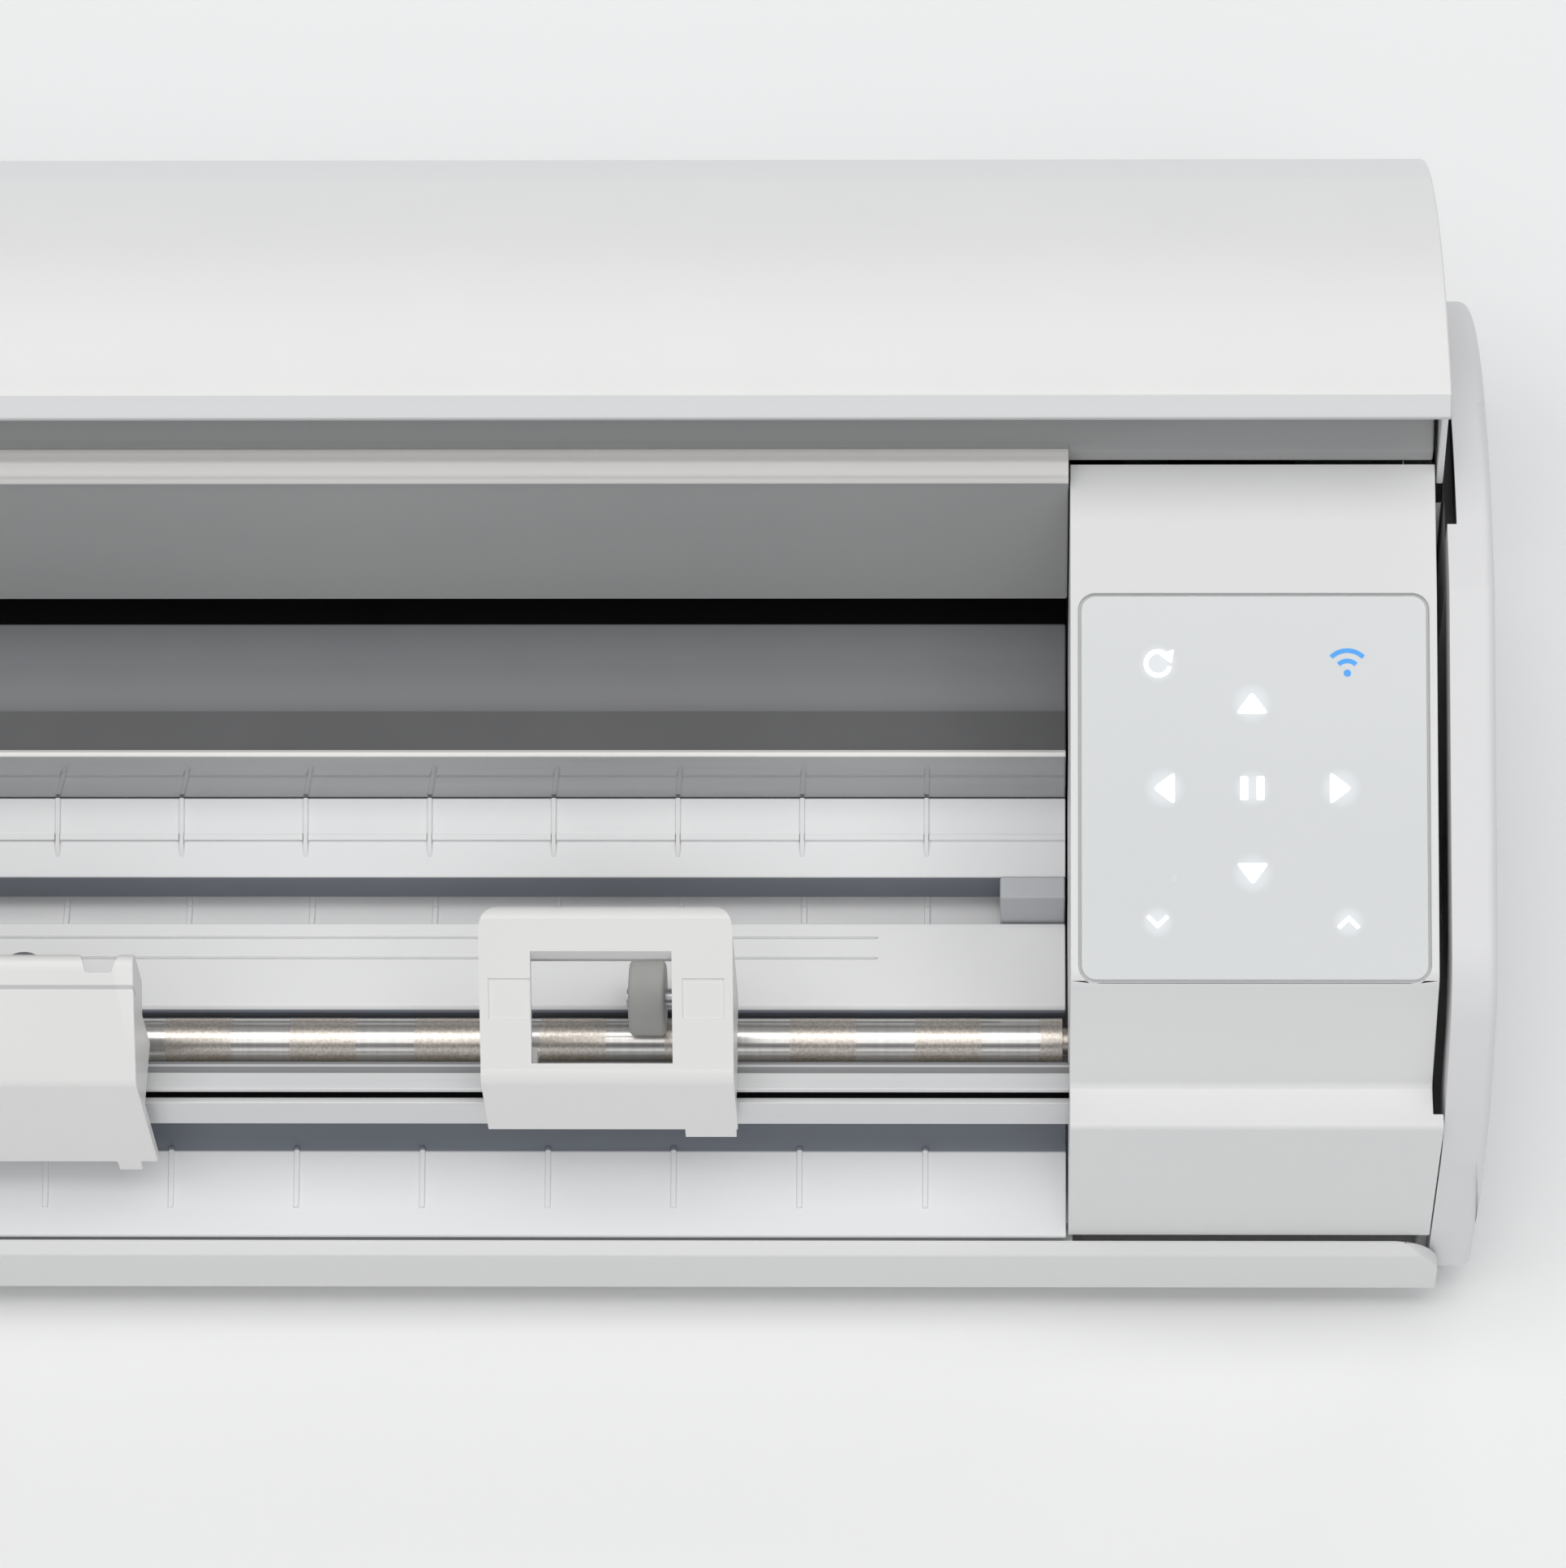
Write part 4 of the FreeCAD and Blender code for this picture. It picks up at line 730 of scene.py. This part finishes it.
def rolled_edge(material):
    """Rolled edge of the hood: a quarter turn with three shallow flutes, over the top of the front wall."""
    t = np.linspace(0, 1, 49)
    first = np.array([119.9, 152.5])
    corner = np.array([114.5, 153.2])
    last = np.array([114.9, 148.6])
    curve = (1 - t)[:, None] ** 2 * first + (2 * t * (1 - t))[:, None] * corner + t[:, None] ** 2 * last
    slope = np.gradient(curve, axis=0)
    out = np.column_stack([-slope[:, 1], slope[:, 0]])
    out = -out / np.linalg.norm(out, axis=1)[:, None]
    raise_by = 0.34 + 0.12 * np.cos(t * 6 * np.pi)
    outer = curve + out * raise_by[:, None]
    inner = (curve - out * 0.6)[::-1]
    half = 198.6
    swept("hood_rolled_edge", np.vstack([outer, inner]), -half, half, material, "case")


# ---------------------------------------------------------------- assembly


def dress():
    """Every CAD node gets its finish; the visible mouldings get rounded edges."""
    white = moulded("white_moulding", (0.84, 0.84, 0.835), (0.80, 0.80, 0.80))
    cap_white = cap_plastic()
    bed_white = bed_plastic()
    edge_white = moulded("edge_white", (0.84, 0.825, 0.8), (0.8, 0.785, 0.765), 0.3)
    housing_white = moulded("housing_white", (0.88, 0.875, 0.86), (0.85, 0.845, 0.835), 0.34)
    stop_grey = moulded("stop_grey", (0.62, 0.63, 0.66), (0.57, 0.58, 0.61), 0.45)
    strip = moulded("low_friction_strip", (0.86, 0.86, 0.84), (0.8, 0.8, 0.79), 0.5)
    dark_tool = moulded("tool_grey", (0.2, 0.205, 0.215), (0.15, 0.155, 0.165), 0.45)
    port_black = moulded("port_black", (0.03, 0.03, 0.033), (0.02, 0.02, 0.022), 0.5)
    acetal = moulded("acetal", (0.8, 0.78, 0.7), (0.74, 0.72, 0.65), 0.35)
    can_black = moulded("motor_black", (0.03, 0.03, 0.032), (0.018, 0.018, 0.02), 0.35, coat=0.3)
    zinc = ground_metal("zinc_sheet", (0.62, 0.63, 0.65), (0.5, 0.51, 0.54), 0.36, "y", 300)
    turned_steel = ground_metal("turned_steel", (0.7, 0.69, 0.68), (0.58, 0.57, 0.56), 0.25, "x", 1200)
    brass = ground_metal("sintered_brass", (0.7, 0.52, 0.25), (0.55, 0.4, 0.18), 0.4, "x", 700)
    screw_black = ground_metal("screw_zinc", (0.2, 0.2, 0.21), (0.12, 0.12, 0.13), 0.4, "z", 700)
    wheel_grey = rubber("wheel_rubber", (0.62, 0.62, 0.6), (0.52, 0.52, 0.5))
    foot_black = rubber("foot_rubber", (0.05, 0.05, 0.05), (0.03, 0.03, 0.03))

    for node, width, material in (
        ("console_left", 0.7, white),
        ("console_right", 0.2, white),
        ("drawer_front", 0.4, white),
        ("drawer_tray", 0.3, white),
        ("base_pan", 0.6, white),
        ("rear_panel", 0.4, white),
        ("lid_shell", 0.5, lid_plastic()),
        ("lid_cheek_left", 0.4, cap_white),
        ("lid_cheek_right", 0.4, cap_white),
        ("rear_cover", 0.5, hood_plastic()),
        ("rear_guide", 0.4, guide_plastic()),
        ("rear_deck", 0.25, bed_white),
        ("valley_floor", 0.2, bed_white),
        ("landing", 0.3, bed_white),
        ("front_tray", 0.2, bed_white),
        ("cutting_strip", 0.3, strip),
        ("end_blocks", 0.5, stop_grey),
        ("carriage_rail", 0.2, anodised_rail()),
        ("carriage_cover", 0.35, carriage_plastic()),
        ("tool_holder_one", 0.5, dark_tool),
        ("tool_holder_two", 0.5, dark_tool),
        ("clamp_lever_one", 0.5, dark_tool),
        ("clamp_lever_two", 0.5, dark_tool),
        ("roll_guide_left", 0.3, stop_grey),
        ("roll_guide_right", 0.3, stop_grey),
        ("power_inlet", 0.4, port_black),
        ("data_port", 0.3, port_black),
    ):
        softened(node, width * MM, material)
    softened("deck_riser", 0.25 * MM, glossy_riser())
    softened("touch_panel", 0.25 * MM, touch_glass(symbol_glow()))
    finish_nodes(cap_white, "end_cap_left", "end_cap_right")
    finish_nodes(zinc, "chassis_plate", "steel_side_plates", "feed_motor_bracket", "idler_bracket")
    finish_nodes(zinc, "carriage_motor_bracket", "carriage_saddle", "pinch_arm_left", "pinch_arm_right")
    finish_nodes(housing_white, "pinch_housing_left", "pinch_housing_right")
    finish_nodes(grit_steel(), "grit_roller")
    finish_nodes(turned_steel, "lid_pivot_pins", "motor_pinion")
    finish_nodes(brass, "shaft_bearings")
    finish_nodes(acetal, "shaft_gear", "drive_pulley", "idler_pulley")
    finish_nodes(can_black, "feed_motor", "carriage_motor")
    finish_nodes(wheel_grey, "pinch_wheel_left", "pinch_wheel_right")
    finish_nodes(wheel_grey, "feed_roller_front", "feed_roller_rear")
    finish_nodes(foot_black, "rubber_feet")
    finish_nodes(toothed_belt(), "timing_belt")
    finish_nodes(circuit_board(), "main_board")
    finish_nodes(screw_black, "case_screws")
    finish_nodes(dark_tool, "tool_barrel_one", "tool_barrel_two")
    rolled_edge(edge_white)
    touch_symbols(lit("lit_white", (1.0, 1.0, 1.0), 0.9), lit("lit_blue", (0.05, 0.32, 0.8), 0.35))


# ---------------------------------------------------------------- floor, light, camera


def floor():
    """Plain pale floor."""
    side = 4.0
    corners = [(-side, -side, 0), (side, -side, 0), (side, side, 0), (-side, side, 0)]
    mesh = bpy.data.meshes.new("floor")
    mesh.from_pydata(corners, [], [(0, 1, 2, 3)])
    item = bpy.data.objects.new("floor", mesh)
    mesh.materials.append(floor_sweep())
    bpy.context.scene.collection.objects.link(item)


def soft_box(name, place, aim, width, height, power, colour=(1, 1, 1)):
    """Rectangular studio light that points at a spot."""
    data = bpy.data.lights.new(name, "AREA")
    data.shape = "RECTANGLE"
    data.size = width
    data.size_y = height
    data.energy = power
    data.color = colour
    lamp = bpy.data.objects.new(name, data)
    lamp.location = place
    lamp.rotation_euler = (Vector(aim) - Vector(place)).to_track_quat("-Z", "Y").to_euler()
    bpy.context.scene.collection.objects.link(lamp)


def light():
    """Pale surroundings and four large soft lights: above, before, behind and low in front."""
    world = bpy.data.worlds.new("studio")
    world.use_nodes = True
    world.node_tree.nodes["Background"].inputs["Color"].default_value = (0.93, 0.96, 1.0, 1)
    world.node_tree.nodes["Background"].inputs["Strength"].default_value = 0.28
    bpy.context.scene.world = world
    soft_box("top_box", (0.1, -0.1, 1.9), (0.1, 0.0, 0.0), 2.4, 1.0, 18, (1.0, 0.99, 0.975))
    soft_box("fill_box", (0.1, -1.0, 1.5), (0.1, -0.06, 0.04), 1.8, 0.8, 5.5, (1.0, 0.99, 0.975))
    soft_box("back_box", (0.1, 1.5, 1.3), (0.1, 0.0, 0.0), 2.4, 0.8, 8, (0.97, 0.98, 1.0))
    soft_box("front_box", (0.3, -1.9, 0.8), (0.1, 0.0, 0.05), 2.0, 0.6, 3, (0.97, 0.98, 1.0))
    bpy.context.scene.view_settings.view_transform = "Standard"


CAMERA_PITCH = math.radians(60)
CAMERA_YAW = math.radians(0.8)
CAMERA_PLACE = Vector((0.1892, -0.6554, 1.1565))


def camera():
    """Camera about 1.3 m away, 60 degrees above the floor, turned slightly to the left."""
    data = bpy.data.cameras.new("camera")
    data.sensor_fit = "HORIZONTAL"
    data.sensor_width = 36
    data.lens = 135.6
    data.shift_x = -0.1
    data.clip_end = 20
    straight = Vector((0, math.cos(CAMERA_PITCH), -math.sin(CAMERA_PITCH)))
    view = straight * math.cos(CAMERA_YAW) + Vector((-1, 0, 0)) * math.sin(CAMERA_YAW)
    up = Vector((1, 0, 0)).cross(view).normalized()
    right = view.cross(up)
    item = bpy.data.objects.new("camera", data)
    item.matrix_world = Matrix.Translation(CAMERA_PLACE) @ Matrix((right, up, -view)).transposed().to_4x4()
    bpy.context.scene.collection.objects.link(item)
    bpy.context.scene.camera = item


camera()
dress()
floor()
light()
